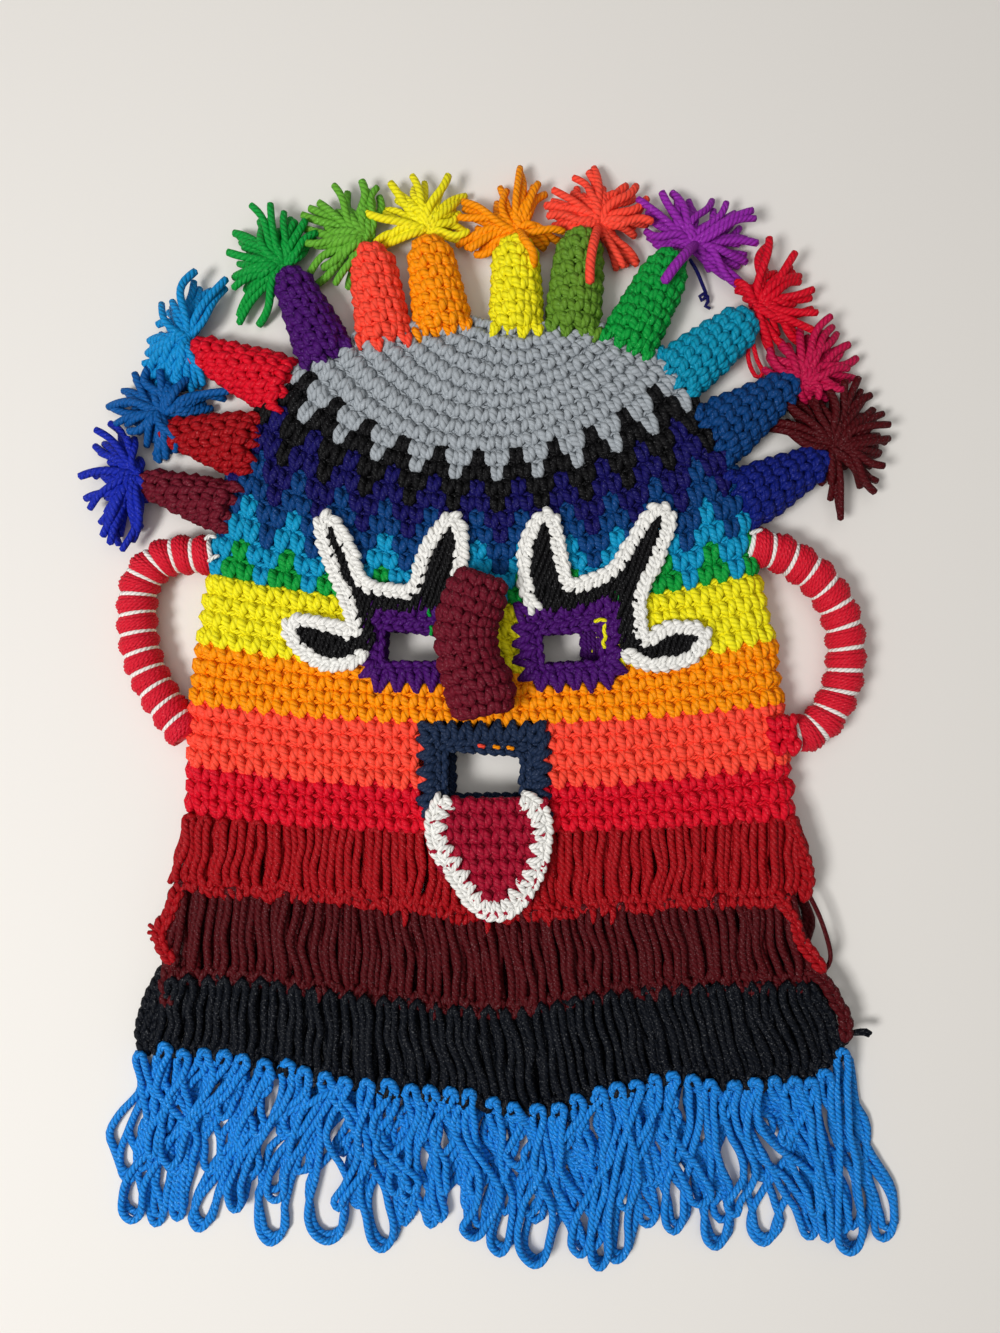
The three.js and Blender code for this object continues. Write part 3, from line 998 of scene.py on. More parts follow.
@dataclass
class TubeForm(Form):
    """A stuffed tube along an axis. Turn 0 is at its left, a quarter turn on top."""

    axis: Array
    profile: tuple[tuple[float, float], ...]
    row: float = 5.8
    squash: float = 1.0
    steps: int = 6
    stations: int = 48
    skin: float = 1.6
    shown: float = 0.56

    def __post_init__(self) -> None:
        """Works out the surface."""
        self.rows = float(round(long(self.axis) / self.row))
        self.line = evenly(self.axis, int(self.rows) * self.steps + 1)
        share, radius = np.array(self.profile).T
        self.radii = np.interp(np.linspace(0, 1, len(self.line)), share, radius)
        along = unit(np.gradient(self.line, axis=0))
        right = unit(np.cross(along, UP))
        over = np.cross(right, along)
        turn = np.linspace(0, math.tau, self.stations + 1)[None, :, None]
        ring = -np.cos(turn) * right[:, None] + np.sin(turn) * over[:, None] * self.squash
        self.set_grid(self.line[:, None] + self.radii[:, None, None] * ring, self.steps, self.stations)

    def stuff(self, work: Work, yarn: str, width: float) -> None:
        """Lays the stuffing's skin and works the rows of stitches over it.

        Args:
            work: The piece that they are laid in.
            yarn: The yarn's name.
            width: How wide a stitch is, in millimetres.
        """
        radii = np.maximum(self.radii * self.squash - self.skin, 0.6)[None]
        work.lay(self.line[None], radii, yarn, sides=16, blunt=0.2)
        for row in range(int(self.rows)):
            radius = self.radii[int((row + 0.5) * self.steps)]
            count = max(4, round(math.tau * radius * (1 + self.squash) / 2 / width))
            turn = (np.arange(count) + (0.5 if row % 2 else 0.0)) / count
            for part, shape in ((turn[turn < self.shown], SNUG), (turn[turn >= self.shown], PLAIN)):
                self.crochet(work, np.full(len(part), row + 0.5), part, 1 / count, yarn, shape)


@dataclass
class Tassel(Maker):
    """Cut strands tied at a horn's tip, each ending where its tip lies in the photo.

    A stray is a loose end: its yarn, its radius, and its places with their heights.
    """

    name: str
    yarn: str
    knot: Point
    tips: Line
    strays: tuple[tuple[str, float, tuple[Spot, ...]], ...] = ()
    radius: float = 1.9
    knot_height: float = 9.5
    layers: tuple[tuple[float, float], ...] = ((0.8, 1.0), (0.66, 0.92), (0.4, 0.75))

    def works(self) -> Iterator[Work]:
        """Lays the strands: the seen ones, and layers of shorter ones under them.

        Yields:
            The tassel.
        """
        work = Work(f"tassel_{self.name}", seed_of(self.name), pitch=2.6)
        chance = work.chance
        knot = np.array([*self.knot, self.knot_height])
        tips = seen(self.tips, 6.0)
        tips[:, 2] = chance.uniform(4.0, 14.0, len(tips))
        ends = [tips]
        x, y, z = (tips - knot).T
        for near, far in self.layers:
            angle = chance.normal(0, 0.12, len(tips))
            turned = np.stack([x * np.cos(angle) - y * np.sin(angle), x * np.sin(angle) + y * np.cos(angle),
                               z], axis=1)
            layer = knot + turned * chance.uniform(near, far, (len(tips), 1))
            layer[:, 2] = chance.uniform(2.3, 7.0, len(tips))
            ends.append(layer)
        reach = np.concatenate(ends) - knot
        share = np.linspace(0, 1, 12)[None, :, None]
        aside = unit(np.stack([-reach[:, 1], reach[:, 0], 0 * reach[:, 0]], axis=1))
        curl = chance.normal(0, 1.7, (len(reach), 1, 1)) * np.sin(math.pi * share)
        curl = curl + chance.normal(0, 1.0, (len(reach), 1, 1)) * np.sin(2 * math.pi * share)
        paths = knot + reach[:, None] * share + aside[:, None] * curl
        hump = np.sin(math.pi * share ** 0.8) * chance.uniform(0, 6, (len(reach), 1, 1))
        paths[..., 2] += hump[..., 0]
        paths[:, 0] += chance.normal(0, 1.0, (len(reach), 3))
        for path in paths:
            work.cord(path, self.radius * chance.uniform(0.88, 1.05), self.yarn)
        for yarn, radius, spots in self.strays:
            places = np.array(spots, float)
            work.cord(through(seen(places[:, :2], places[:, 2]), 80), radius, yarn)
        yield work


@dataclass
class Horn(Maker):
    """A stuffed crocheted cone sewn to the fold, with a tassel at its tip.

    Its base and its tip are places in the photo; its half widths are real ones.
    """

    name: str
    yarn: str
    base: Point
    tip: Point
    wide: float
    narrow: float
    tassel: Tassel
    thick: float = 11.6
    hidden: float = 5.0
    peak: float = 1.5
    stitch: float = 6.6
    wall: float = 1.5
    sewing: float = 6.4
    sewing_wide: float = 5.6
    sewing_radius: float = 1.65
    sewing_lift: float = 2.4

    def works(self) -> Iterator[Work]:
        """Works the cone and its sewing, and then the tassel.

        Yields:
            The horn, and what its tassel gives.
        """
        low, high = min(self.wide, self.thick), min(self.narrow, self.thick)
        line = seen((self.base, self.tip), np.array([low, high * 0.95]) + 0.3)
        ahead = unit(line[1] - line[0])
        line += np.stack([-ahead * self.hidden, ahead * self.peak])
        less, wide, narrow = self.wall, self.wide, self.narrow
        form = TubeForm(evenly(line, 30), (
            (0.0, wide - less), (0.2, wide - less), (0.7, narrow - less), (0.82, narrow * 0.93 - less),
            (0.91, narrow * 0.72 - less), (0.97, narrow * 0.45 - 0.8), (1.0, 1.2),
        ), squash=low / wide)
        work = Work(f"horn_{self.name}", seed_of(self.name))
        form.stuff(work, self.yarn, self.stitch)
        self._sew(work, line[0], ahead)
        yield work
        yield from self.tassel.works()

    def _sew(self, work: Work, foot: Array, ahead: Array) -> None:
        """Sews the base to the hood with uneven stitches of the horn's yarn.

        Args:
            work: The piece that they are laid in.
            foot: The start of the horn's axis.
            ahead: The direction from there to its tip.
        """
        count = max(3, round(self.wide * 2 / self.sewing))
        aside = np.array([-ahead[1], ahead[0], 0.0])
        share = (np.linspace(-0.8, 0.8, count) * self.wide)[:, None]
        back = self.hidden - 3.2 - work.chance.uniform(0, 2.6, (count, 1))
        places = foot + aside * share + ahead * back
        front = HOOD_FORM.spots[:, :HOOD_FORM.stations + 1].reshape(-1, 3)
        near = np.linalg.norm(front[None, :, :2] - places[:, None, :2], axis=2).argmin(axis=1)
        places[:, 2] = front[near, 2] + self.sewing_lift
        tilt = work.chance.normal(0, 0.2, (count, 1))
        work.stitch(places, aside * self.sewing_wide, ahead * -self.sewing + aside * tilt * self.sewing,
                    self.yarn, radius=self.sewing_radius, loose=1.6, shape=PLAIN)


@dataclass
class Ear(Maker):
    """A padded tube bent to a C, wrapped in red with thin white turns.

    Its line is in millimetres; its white ends and the red stitches at its foot are places in the photo.
    """

    name: str
    line: Line
    ends: tuple[Line, ...]
    stub: Line = ()
    wraps: int = 13
    radius: float = 9.4
    height: float = 9.8
    red: float = 1.2
    white: float = 1.4
    turns: int = 5
    bulge: float = 1.9
    end_height: float = 19.0
    stub_height: float = 21.0

    def works(self) -> Iterator[Work]:
        """Wraps the tube.

        Yields:
            The ear.
        """
        work = Work(self.name, seed_of(self.name))
        line = through([(x, y, self.height) for x, y in self.line], 400)
        pitch = long(line) / self.wraps
        share = np.linspace(0, self.wraps, self.wraps * 8 + 1) % 1
        swell = self.radius - 2.6 + self.bulge * np.sin(math.pi * share) ** 0.6
        work.lay(evenly(line, len(swell))[None], swell[None], "ear_yarn", sides=16, blunt=0.2)
        for k in range(self.wraps):
            start = k * pitch
            self._wrap(work, line, start, self.white, self.radius - self.white - 0.9, "white_yarn")
            for n in range(self.turns):
                at = start + self.white + (pitch - 2 * self.white) * (n + 0.5) / self.turns
                out = self.radius - 2.7 + self.bulge * math.sin(math.pi * (n + 0.5) / self.turns) ** 0.6
                self._wrap(work, line, at, self.red, out, "ear_yarn")
        for end in self.ends:
            work.lay(evenly(seen(end, self.end_height), 6)[None], 1.0, "white_yarn", sides=5)
        if self.stub:
            work.stitch(seen(self.stub, self.stub_height), (6.6, 0.8, 0.0), (0.8, -6.4, 0.0), "red_yarn",
                        radius=1.9)
        yield work

    def _wrap(self, work: Work, line: Array, at: float, strand: float, radius: float, yarn: str) -> None:
        """Lays one turn of yarn round the tube.

        Args:
            work: The piece that it is laid in.
            line: The tube's axis.
            at: How far along the axis it is.
            strand: The yarn's radius.
            radius: How far from the axis it lies.
            yarn: The yarn's name.
        """
        slant = work.chance.normal(1.0, 0.35)
        turn = np.linspace(0, math.tau, 16) - math.pi / 2
        where = np.clip((at + slant * np.cos(turn)) / long(line), 0, 1) * (len(line) - 1)
        low = np.minimum(where.astype(int), len(line) - 2)
        share = (where - low)[:, None]
        middle = line[low] * (1 - share) + line[low + 1] * share
        along = unit(line[low + 1] - line[low])
        side = unit(np.cross(along, UP))
        out = np.cos(turn)[:, None] * side + np.sin(turn)[:, None] * np.cross(side, along)
        work.lay((middle + out * radius)[None], strand, yarn, up=out[None], sides=5)


@dataclass
class Nose(Maker):
    """A bent stuffed tube of crochet on the middle of the face."""

    name: str = "nose"
    yarn: str = "wine_yarn"
    line: Line = ((-0.8, 28.8), (-4.2, 19), (-8.2, 8), (-8.8, -2), (-6.7, -12), (-2.8, -22.5), (-0.4, -34.4))
    profile: Line = ((0, 0.7), (0.04, 1.0), (0.12, 1.16), (0.2, 1.14), (0.32, 1.05), (0.45, 1.0), (0.85, 1.0),
                     (0.95, 0.88), (1, 0.62))
    height: float = 30.2
    radius: float = 12.3
    squash: float = 0.78
    row: float = 6.2
    stitch: float = 6.3

    def works(self) -> Iterator[Work]:
        """Works the tube.

        Yields:
            The nose.
        """
        line = through([(x, y, self.height) for x, y in reversed(self.line)], 60)
        profile = tuple((share, self.radius * wide) for share, wide in self.profile)
        work = Work(self.name, seed=5)
        TubeForm(line, profile, row=self.row, squash=self.squash).stuff(work, self.yarn, self.stitch)
        yield work


# What is sewn on the face


@dataclass
class OpeningRim(Maker):
    """The crocheted rim of an opening in one layer of the hood, in millimetres.

    Its marks are short ends of other yarns, at places in the photo.
    """

    name: str
    yarn: str
    rim: Line
    hole: Line
    reach: float
    back_shift: float
    marks: tuple[tuple[str, Line], ...] = ()
    side: Side = Side.FRONT
    pitch: float = 6.8
    tooth: float = 8.5
    front_height: float = 19.4
    back_height: float = 1.9

    def works(self) -> Iterator[Work]:
        """Works the teeth round the rim, the strands inside it and the chains on it.

        Yields:
            The rim.
        """
        work = Work(self.name, seed_of(self.name))
        front = self.side is Side.FRONT
        up = 1.0 if front else -1.0
        height = self.front_height if front else self.back_height
        shift = 0.0 if front else self.back_shift
        rim, hole = ([(x + shift, y) for x, y in line] for line in (self.rim, self.hole))
        inner = corner_line(hole, 1.0, height)
        outer = corner_line(rim, self.pitch, height, self.reach)
        near = inner[np.linalg.norm(outer[:, None] - inner[None], axis=2).argmin(axis=1)]
        reach = outer - near
        down = unit(reach) * np.minimum(np.linalg.norm(reach, axis=1, keepdims=True), self.tooth)
        across = unit(np.cross(down, UP)) * self.pitch
        work.stitch(outer - down * 0.45 + UP * 0.9 * up, across, down, self.yarn, up, radius=POINTED.radius,
                    shape=POINTED if front else PLAIN)
        for share in np.linspace(0.10, 0.74, 5 if front else 4):
            fine = through(near + reach * share + UP * -1.4 * up, 120 if front else 60, closed=True)
            work.lay(np.concatenate([fine, fine[:2]])[None], 1.8, self.yarn, sides=5)
        for share in (0.16, 0.46) if front else (0.16,):
            ring = through(near + reach * share + UP * (0.4 - share) * up, 400, closed=True)
            ring = np.concatenate([ring, ring[:1]])
            work.chain(evenly(ring, round(long(ring) / 4.6) + 1)[:-1], 5.4, self.yarn, up, radius=1.55,
                       closed=True)
        for yarn, spots in self.marks:
            path = through(seen(spots, height + 2.2), 60)
            path[[0, 1, -2, -1], 2] -= 1.2
            work.lay(evenly(path, 9)[None], 0.95, yarn, sides=5)
        yield work


@dataclass
class Sewn(Maker):
    """A flat piece sewn on the face: yarn work over a thin cloth of the same outline.

    Its edging's line and its edge along the eye are places in the photo.
    """

    name: str
    yarn: str
    edging: Line
    height: float
    eye_side: Line = ()
    below: float = 1.2

    @property
    def outline(self) -> Array:
        """The cloth's corners in millimetres."""
        return seen(self.edging + self.eye_side, self.height)[:, :2]

    def build(self, basket: Basket) -> list[bpy.types.Object]:
        """Makes the pieces, and the cloth that comes before them."""
        pieces = super().build(basket)
        return [self._cloth(basket, pieces), *pieces]

    def _cloth(self, basket: Basket, worn: Sequence[bpy.types.Object]) -> bpy.types.Object:
        """Makes the cloth.

        Args:
            basket: The yarns' materials by name.
            worn: The pieces of yarn work on it; not used.

        Returns:
            The cloth.
        """
        ring, top = self.outline, self.height - self.below
        body = bmesh.new()
        bmesh.ops.create_circle(body, cap_ends=True, segments=len(ring), radius=1.0)
        for vert, (x, y) in zip(body.verts, ring):
            vert.co = Vector((x, y, top - 1.0)) * MM
        bmesh.ops.recalc_face_normals(body, faces=body.faces)
        lid = bmesh.ops.extrude_face_region(body, geom=body.faces[:])["geom"]
        bmesh.ops.translate(body, verts=[v for v in lid if isinstance(v, bmesh.types.BMVert)], vec=(0, 0, MM))
        bmesh.ops.recalc_face_normals(body, faces=body.faces)
        bmesh.ops.triangulate(body, faces=body.faces)
        layer = body.loops.layers.uv.new("Yarn")
        for loop in (loop for face in body.faces for loop in face.loops):
            loop[layer].uv = (loop.vert.co.x / (2.3 * MM), loop.vert.co.y / (9 * MM))
        piece = cast(body, f"worked_{self.name}_backing", [basket[self.yarn]])
        turned = np.roll(ring, -1, axis=0)
        return piece


@dataclass
class Patch(Sewn):
    """A black two-pronged patch over an eye, edged with a white chain."""

    pitch: float = 2.3
    slant: float = 70.0
    strand: float = 1.45

    def works(self) -> Iterator[Work]:
        """Lays the patch's wool and works its edging.

        Yields:
            The wool, and then the edging.
        """
        wool = Work(self.name, seed=31)
        self._fill(wool)
        yield wool
        edge = Work(self.name.replace("patch", "edging"), seed=32)
        line = through(seen(self.edging, self.height + 0.4), 400)
        edge.lay(evenly(line - UP * 1.1, round(long(line) / 3))[None], 2.6, "white_yarn")
        edge.chain(evenly(line, round(long(line) / 4.2)), 6.2, "white_yarn", radius=1.65)
        yield edge

    def _fill(self, work: Work) -> None:
        """Fills the outline with strands side by side.

        Args:
            work: The piece that they are laid in.
        """
        slant = math.radians(self.slant)
        run = np.array([math.cos(slant), math.sin(slant)])
        step = np.array([-run[1], run[0]])
        ring = self.outline
        at = np.arange((ring @ run).min(), (ring @ run).max(), 0.5)
        for across in np.arange((ring @ step).min() + self.pitch / 2, (ring @ step).max(), self.pitch):
            line = at[:, None] * run + across * step
            kept = inside(line, ring).astype(int)
            edges = np.flatnonzero(np.diff(np.concatenate([[0], kept, [0]])))
            for start, end in edges.reshape(-1, 2):
                if end - start < 6:
                    continue
                path = evenly(np.column_stack([line[[start, end - 1]], [self.height] * 2]), 7)
                path[:, :2] += work.chance.normal(0, 0.35, (7, 2))
                path[:, 2] += work.chance.normal(0, 0.3, 7)
                work.lay(path[None], self.strand, self.yarn)


@dataclass
class Tongue(Sewn):
    """The tongue: rows of stitches with a white chain round its edge."""

    row: float = 6.9
    stitch: float = 7.0
    tooth: float = 6.2

    def works(self) -> Iterator[Work]:
        """Works the tongue and its edging.

        Yields:
            The tongue, and then the edging.
        """
        work = Work(self.name, seed=41)
        ring = self.outline
        for k, y in enumerate(np.arange(ring[:, 1].max() - self.row / 2, ring[:, 1].min(), -self.row)):
            x = np.arange(ring[:, 0].min(), ring[:, 0].max(), self.stitch) + (k % 2) * self.stitch / 2
            places = np.column_stack([x, np.full(len(x), y), np.full(len(x), self.height)])
            places = places[inside(places[:, :2], ring)]
            if len(places):
                work.stitch(places, (self.stitch, 0, 0), (0, -self.row, 0), self.yarn, radius=2.0)
        yield work
        edge = Work("tongue_edging", seed=42)
        path = through(seen(self.edging, self.height + 0.5), 400)
        line = evenly(path, round(long(path) / self.tooth))
        ahead = np.gradient(line, axis=0)
        inward = unit(np.cross(UP, ahead))
        edge.stitch(line + inward * 3.4 + UP * 0.5, ahead * 0.84, inward * 6.4, "white_yarn", radius=1.4,
                    shape=POINTED)
        edge.lay(evenly(path - UP * 1.1, round(long(path) / 3))[None], 2.1, "white_yarn")
        edge.chain(evenly(path, round(long(path) / 4.2)) + UP * 0.2, 4.5, "white_yarn", radius=1.5)
        yield edge


# Rows of hanging loops


@dataclass(frozen=True)
class Hem:
    """A line across the hood's lower part, given as places in the photo, and the height under it."""

    line: Line
    under: float

    def at(self, share: Array) -> Array:
        """Points of the line in the plane, by how far across they are from left to right."""
        path = through(seen(self.line, self.under + 3.0)[:, :2], 300)
        return np.stack([np.interp(share, np.linspace(0, 1, 300), path[:, k]) for k in (0, 1)], axis=-1)


@dataclass
class LoopRow(Maker):
    """A row of hanging loops from one hem to the next, caught by rows of small stitches below.

    Drips are stray ends, borders are chains down the next row's edge, and threads are loose ends.
    All are places in the photo.
    """

    name: str
    yarn: str
    top: Hem
    bottom: Hem
    hump: float = 0.0
    drips: Line = ()
    borders: tuple[Line, ...] = ()
    threads: tuple[Line, ...] = ()
    side: Side = Side.FRONT
    front_loops: int = 37
    back_loops: int = 46
    stitches: int = 58
    radius: float = 1.95
    lean: float = 3.5
    wave: float = 2.2
    thread: float = 1.1
    drip: tuple[float, ...] = (1.9, 1.8, 1.6, 1.4, 1.1, 0.8)

    def works(self) -> Iterator[Work]:
        """Works the loops and the stitches below them.

        Yields:
            The row.
        """
        work = Work(f"{self.side.value}_{self.name}", seed_of(self.name), pitch=2.9)
        if self.side is Side.FRONT:
            self._loops(work, 2.4, 0.5)
        self._loops(work, 0.0, 0.0)
        self._catch(work)
        if self.side is Side.FRONT:
            self._edges(work)
        yield work

    def _loops(self, work: Work, depth: float, shift: float) -> None:
        """Works one layer of the loops.

        Args:
            work: The piece that they are laid in.
            depth: How far the layer lies below the first one.
            shift: How far it is shifted sideways, in loops.
        """
        chance, front = work.chance, self.side is Side.FRONT
        count = self.front_loops if front else self.back_loops
        middle = (np.arange(count) + 0.5 + shift) / count
        share = np.linspace(0, 1, 10)[None, :, None]
        legs = []
        for hand in (-1, 1):
            u = middle + hand * 0.24 / count + chance.normal(0, 0.07 / count, count)
            u = np.clip(u, 0.004, 0.996)
            edge = np.minimum(u, 1 - u) * 2
            aside = self.lean * edge + chance.normal(0, 0.9, count) * edge ** 0.3
            top = self.top.at(u) + [0, 2.0 if front and not self.hump else -1.0]
            bottom = self.bottom.at(u) + np.stack([aside, 4.0 + 0 * u], axis=1)
            flat = top[:, None] * (1 - share) + bottom[:, None] * share
            high = (self.top.under + 2.0) * (1 - share) + (self.bottom.under + 2.3) * share
            high = high + 1.2 * np.sin(math.pi * share) + chance.normal(0, 0.7, (count, 1, 1)) - depth
            high = np.maximum(high, self.radius + 0.05) if front else np.full_like(high, LYING)
            path = np.concatenate([flat, high], axis=2)
            bend = np.array([[noise.noise(Vector((a * 11, b * 1.8, self.top.under + depth)))
                              + 0.5 * noise.noise(Vector((a * 45, b * 2.6, hand)))
                              for b in share[0, :, 0]] for a in u])
            path[..., 0] += self.wave * 1.8 * bend * np.sin(math.pi * share[..., 0]) ** 0.7
            legs.append(path)
        left, right = legs
        crown = (left[:, 0] + right[:, 0]) / 2
        half = np.linalg.norm(right[:, 0] - left[:, 0], axis=1)[:, None] / 2
        turn = np.array([150.0, 90.0, 30.0]) * math.pi / 180
        over = crown[:, None] + np.stack([np.cos(turn) * half, np.sin(turn) * (half + self.hump),
                                          np.full((count, 3), 0.0)], axis=2)
        if self.hump:
            over[..., 2] += 2.4
            left[:, 0, 2] += 1.8
            right[:, 0, 2] += 1.8
        work.lay(np.concatenate([left[:, ::-1], over, right], axis=1), self.radius, self.yarn,
                 sides=5 if depth else 6)

    def _catch(self, work: Work) -> None:
        """Works the rows of stitches that catch the loops.

        Args:
            work: The piece that they are worked in.
        """
        chance, front = work.chance, self.side is Side.FRONT
        for row in (0, 1) if front else (0,):
            share = 0.008 + 0.984 * (np.arange(self.stitches) + 0.5 + 0.5 * row) / (self.stitches + 0.5)
            height = self.bottom.under + 3.0 if front else LYING
            places = np.column_stack([self.bottom.at(share) + [0, 2.2 + 3.6 * row],
                                      np.full(len(share), height)])
            wide = np.gradient(places, axis=0) * [1, 1, 0] * 1.25
            down = unit(np.cross(wide, UP)) * 5.6
            places[:, :2] += chance.normal(0, 0.55, (len(share), 2))
            places[:, 2] += chance.normal(0, 0.35, len(share)) - 0.3 * row if front else 0.0
            tilt = chance.normal(0, 0.28, (len(share), 1))
            work.stitch(places, wide, down + wide * tilt, self.yarn, 1.0 if front else -1.0, radius=1.75,
                        loose=1.6, shape=PLAIN)

    def _edges(self, work: Work) -> None:
        """Lays the drips, the borders and the threads.

        Args:
            work: The piece that they are laid in.
        """
        under = self.bottom.under
        for spot in self.drips:
            end = seen([spot], under + 3.6)[0]
            start = end + [work.chance.normal(0, 1.0), 8.0, 0.8]
            work.lay(through([start, (start + end) / 2 + [0.6, 0, 0.6], end], 6)[None], np.array(self.drip),
                     self.yarn)
        for border in self.borders:
            path = through(seen(border, under + 4.0), 200)
            path[:, 2] = np.linspace(under + 3.6, under + 2.0, len(path))
            work.lay(evenly(path, 14)[None], 1.9, self.yarn)
            work.chain(evenly(path + UP, max(3, round(long(path) / 4.4))), 5.2, self.yarn, radius=1.7)
        for thread in self.threads:
            work.cord(through(seen(thread, under + 2.4), 40), self.thread, self.yarn)


@dataclass
class Fringe(Maker):
    """Long loops of twisted cord that hang from the last hem and pile up where they end.

    Its arches and the low ends of its loops, with their widths, are places in the photo.
    """

    name: str
    arches: Line
    lobes: tuple[Spot, ...]
    side: Side = Side.FRONT
    extra: int = 34
    radius: float = 1.78
    cord: float = 7.4
    apart: float = 5.2
    knot: tuple[Spot, ...] = ((-3.6, 3.5, 11.6), (-2.4, -1.5, 13.2), (2.4, -1.5, 13.4), (5.2, 4, 12.4))
    tuck: tuple[Spot, ...] = ((-5.0, 5, 11.3), (-3.0, 3.0, 10.6))
    yarn: str = "fringe_blue_yarn"

    def works(self) -> Iterator[Work]:
        """Lays the loops: a twisted cord each in front, a plain strand each behind.

        Yields:
            The fringe.
        """
        front = self.side is Side.FRONT
        work = Work(self.name, seed=61 if front else 62, pitch=2.5)
        chance = work.chance
        arches = np.array(self.arches, float)
        loops = list(self.lobes)
        for x, y, wide in self.lobes[::2]:
            loops.append((x + chance.normal(0, 6), y - chance.uniform(14, 52), chance.uniform(18, 30)))
        for pick in chance.choice(len(arches), self.extra, replace=False):
            low = arches[pick][1] + chance.uniform(55, 140)
            middle = float(np.clip(arches[pick][0] + chance.normal(0, 10), 146, 850))
            loops.append((middle, low, chance.uniform(15, 25)))
        loops.sort()
        order = np.arange(len(loops)) * (len(arches) - 1) / (len(loops) - 1)
        ranks = np.argsort(np.argsort(order + chance.normal(0, 1.3, len(loops))))
        picks = np.round(order[ranks]).astype(int)
        for k, (loop, pick) in enumerate(zip(loops, picks)):
            path = self._loop(chance, arches[pick], loop, k)
            if front:
                work.cord(path, self.radius, self.yarn, step=1.9)
            else:
                work.lay(evenly(path, 40)[None], self.radius + 0.2, self.yarn, sides=5)
        yield work

    def _loop(self, chance: np.random.Generator, arch: Array, lobe: Spot, turn: int) -> Array:
        """One loop from its arch down to where it ends and back.

        Args:
            chance: The piece's chance numbers.
            arch: The top of the arch, in the photo.
            lobe: The middle of its lower end, its lowest edge and its width, in the photo.
            turn: The loop's number.

        Returns:
            The cord's line in millimetres.
        """
        x, y, wide = lobe
        half, foot = (wide - self.cord) / 2, y - self.cord / 2
        low = foot - max(0.62 * wide, 11)
        top = arch[1] + self.cord / 2
        t = np.linspace(0.10, 0.90, 9)
        free = np.clip(min(arch[0] - 150, 840 - arch[0]) / 60, 0.1, 1)
        middle = arch[0] + (x - arch[0]) * eased(t) + free * chance.normal(0, 8) * np.sin(math.pi * t)
        middle = middle + chance.normal(0, 4.5) * np.sin(math.tau * t)
        crosses = (0, 2, 2, 1)[turn % 4] + chance.uniform(-0.3, 0.3)
        grow = eased(np.clip((t - 0.38) / 0.42, 0, 1))
        apart = (1 - grow) * self.apart * np.cos(crosses * math.pi * t) + grow * half
        down = top + 4 + (low - top - 4) * t
        deep = 2.2 + 2.6 * (turn % 3)
        high = deep + (10.5 - deep) * np.clip(1 - t / 0.62, 0, 1) ** 0.8
        rise = 1.5 * np.sin(crosses * math.pi * t) * (1 - grow)
        spots = [(arch[0] + dx, top + dy, z) for dx, dy, z in self.knot]
        spots += zip(middle + apart, down, high + rise)
        spots += [(x + half * math.cos(a), low + (foot - low) * math.sin(a), deep)
                  for a in np.radians([12, 45, 90, 135, 168])]
        spots += zip((middle - apart)[::-1], down[::-1], (high - rise)[::-1])
        spots += [(arch[0] + dx, top + dy, z) for dx, dy, z in self.tuck]
        spots = np.array(spots)
        if self.side is Side.BACK:
            spots[:, 2] = LYING + 0.1
        path = through(seen(spots[:, :2], spots[:, 2]), 150)
        path = path + through(chance.normal(0, (0.5, 0.35, 0.45), (24, 3)), 150)
        path[:, 2] = np.maximum(path[:, 2], LYING)
        return path


# The pieces of this hood

EARS = (
    Ear("ear_left", ((-127, 39.5), (-149, 38.3), (-161, 27), (-163, 8), (-160, -10), (-152, -27),
                     (-139, -45)),
        (((205, 540), (210, 536), (216, 538)), ((208, 562), (213, 558), (219, 556)))),
    Ear("ear_right", ((123, 44), (139, 39.5), (157, 26), (167, 6), (167, -18), (159, -36), (148, -44),
                      (134, -44)),
        (((750, 534), (756, 532), (762, 530)),),
        ((776, 723), (789, 722), (775, 736), (788, 735), (780, 748), (793, 747))),
)
RIMS = (
    OpeningRim("eye_rim_left", "purple_yarn", ((-53, 14.5), (-56, -9), (-49, -19), (-14, -18.5), (-15, 14.5)),
               ((-47, 4.5), (-47, -11.5), (-16, -11.5), (-16, 0), (-28, 3)), 3.6, 0,
               (("green_yarn", ((429, 608), (428, 612), (430, 616))),
                ("green_yarn", ((431, 627), (432, 631), (431, 635)))), pitch=7.4, tooth=10.5),
    OpeningRim("eye_rim_right", "purple_yarn", ((18, 12.5), (18.5, -14), (24, -19), (59, -17), (57.5, 18.5)),
               ((24.5, 2), (26, -13.5), (53.5, -10.5), (52.5, 3.5)), 3.8, -7,
               (("yellow_yarn", ((595, 622), (601, 620), (607, 622))),
                ("yellow_yarn", ((606, 622), (604, 630), (606, 638))),
                ("yellow_yarn", ((606, 638), (603, 643), (605, 648))),
                ("green_yarn", ((615, 592), (618, 595), (619, 600)))), pitch=7.4, tooth=10.5),
    OpeningRim("mouth_rim", "slate_yarn", ((-29, -39.6), (-29, -79), (27.5, -79), (27.5, -39.6)),
               ((-18.5, -50), (-18.5, -75), (16.5, -75), (16.5, -54)), 0.6, 3,
               (("coral_yarn", ((479, 746), (484, 747))), ("orange_yarn", ((494, 747), (499, 748))),
                ("orange_yarn", ((508, 748), (513, 749))))),
)
BACK_RIMS = [replace(rim, name=f"back_{rim.name}", side=Side.BACK, marks=()) for rim in RIMS]
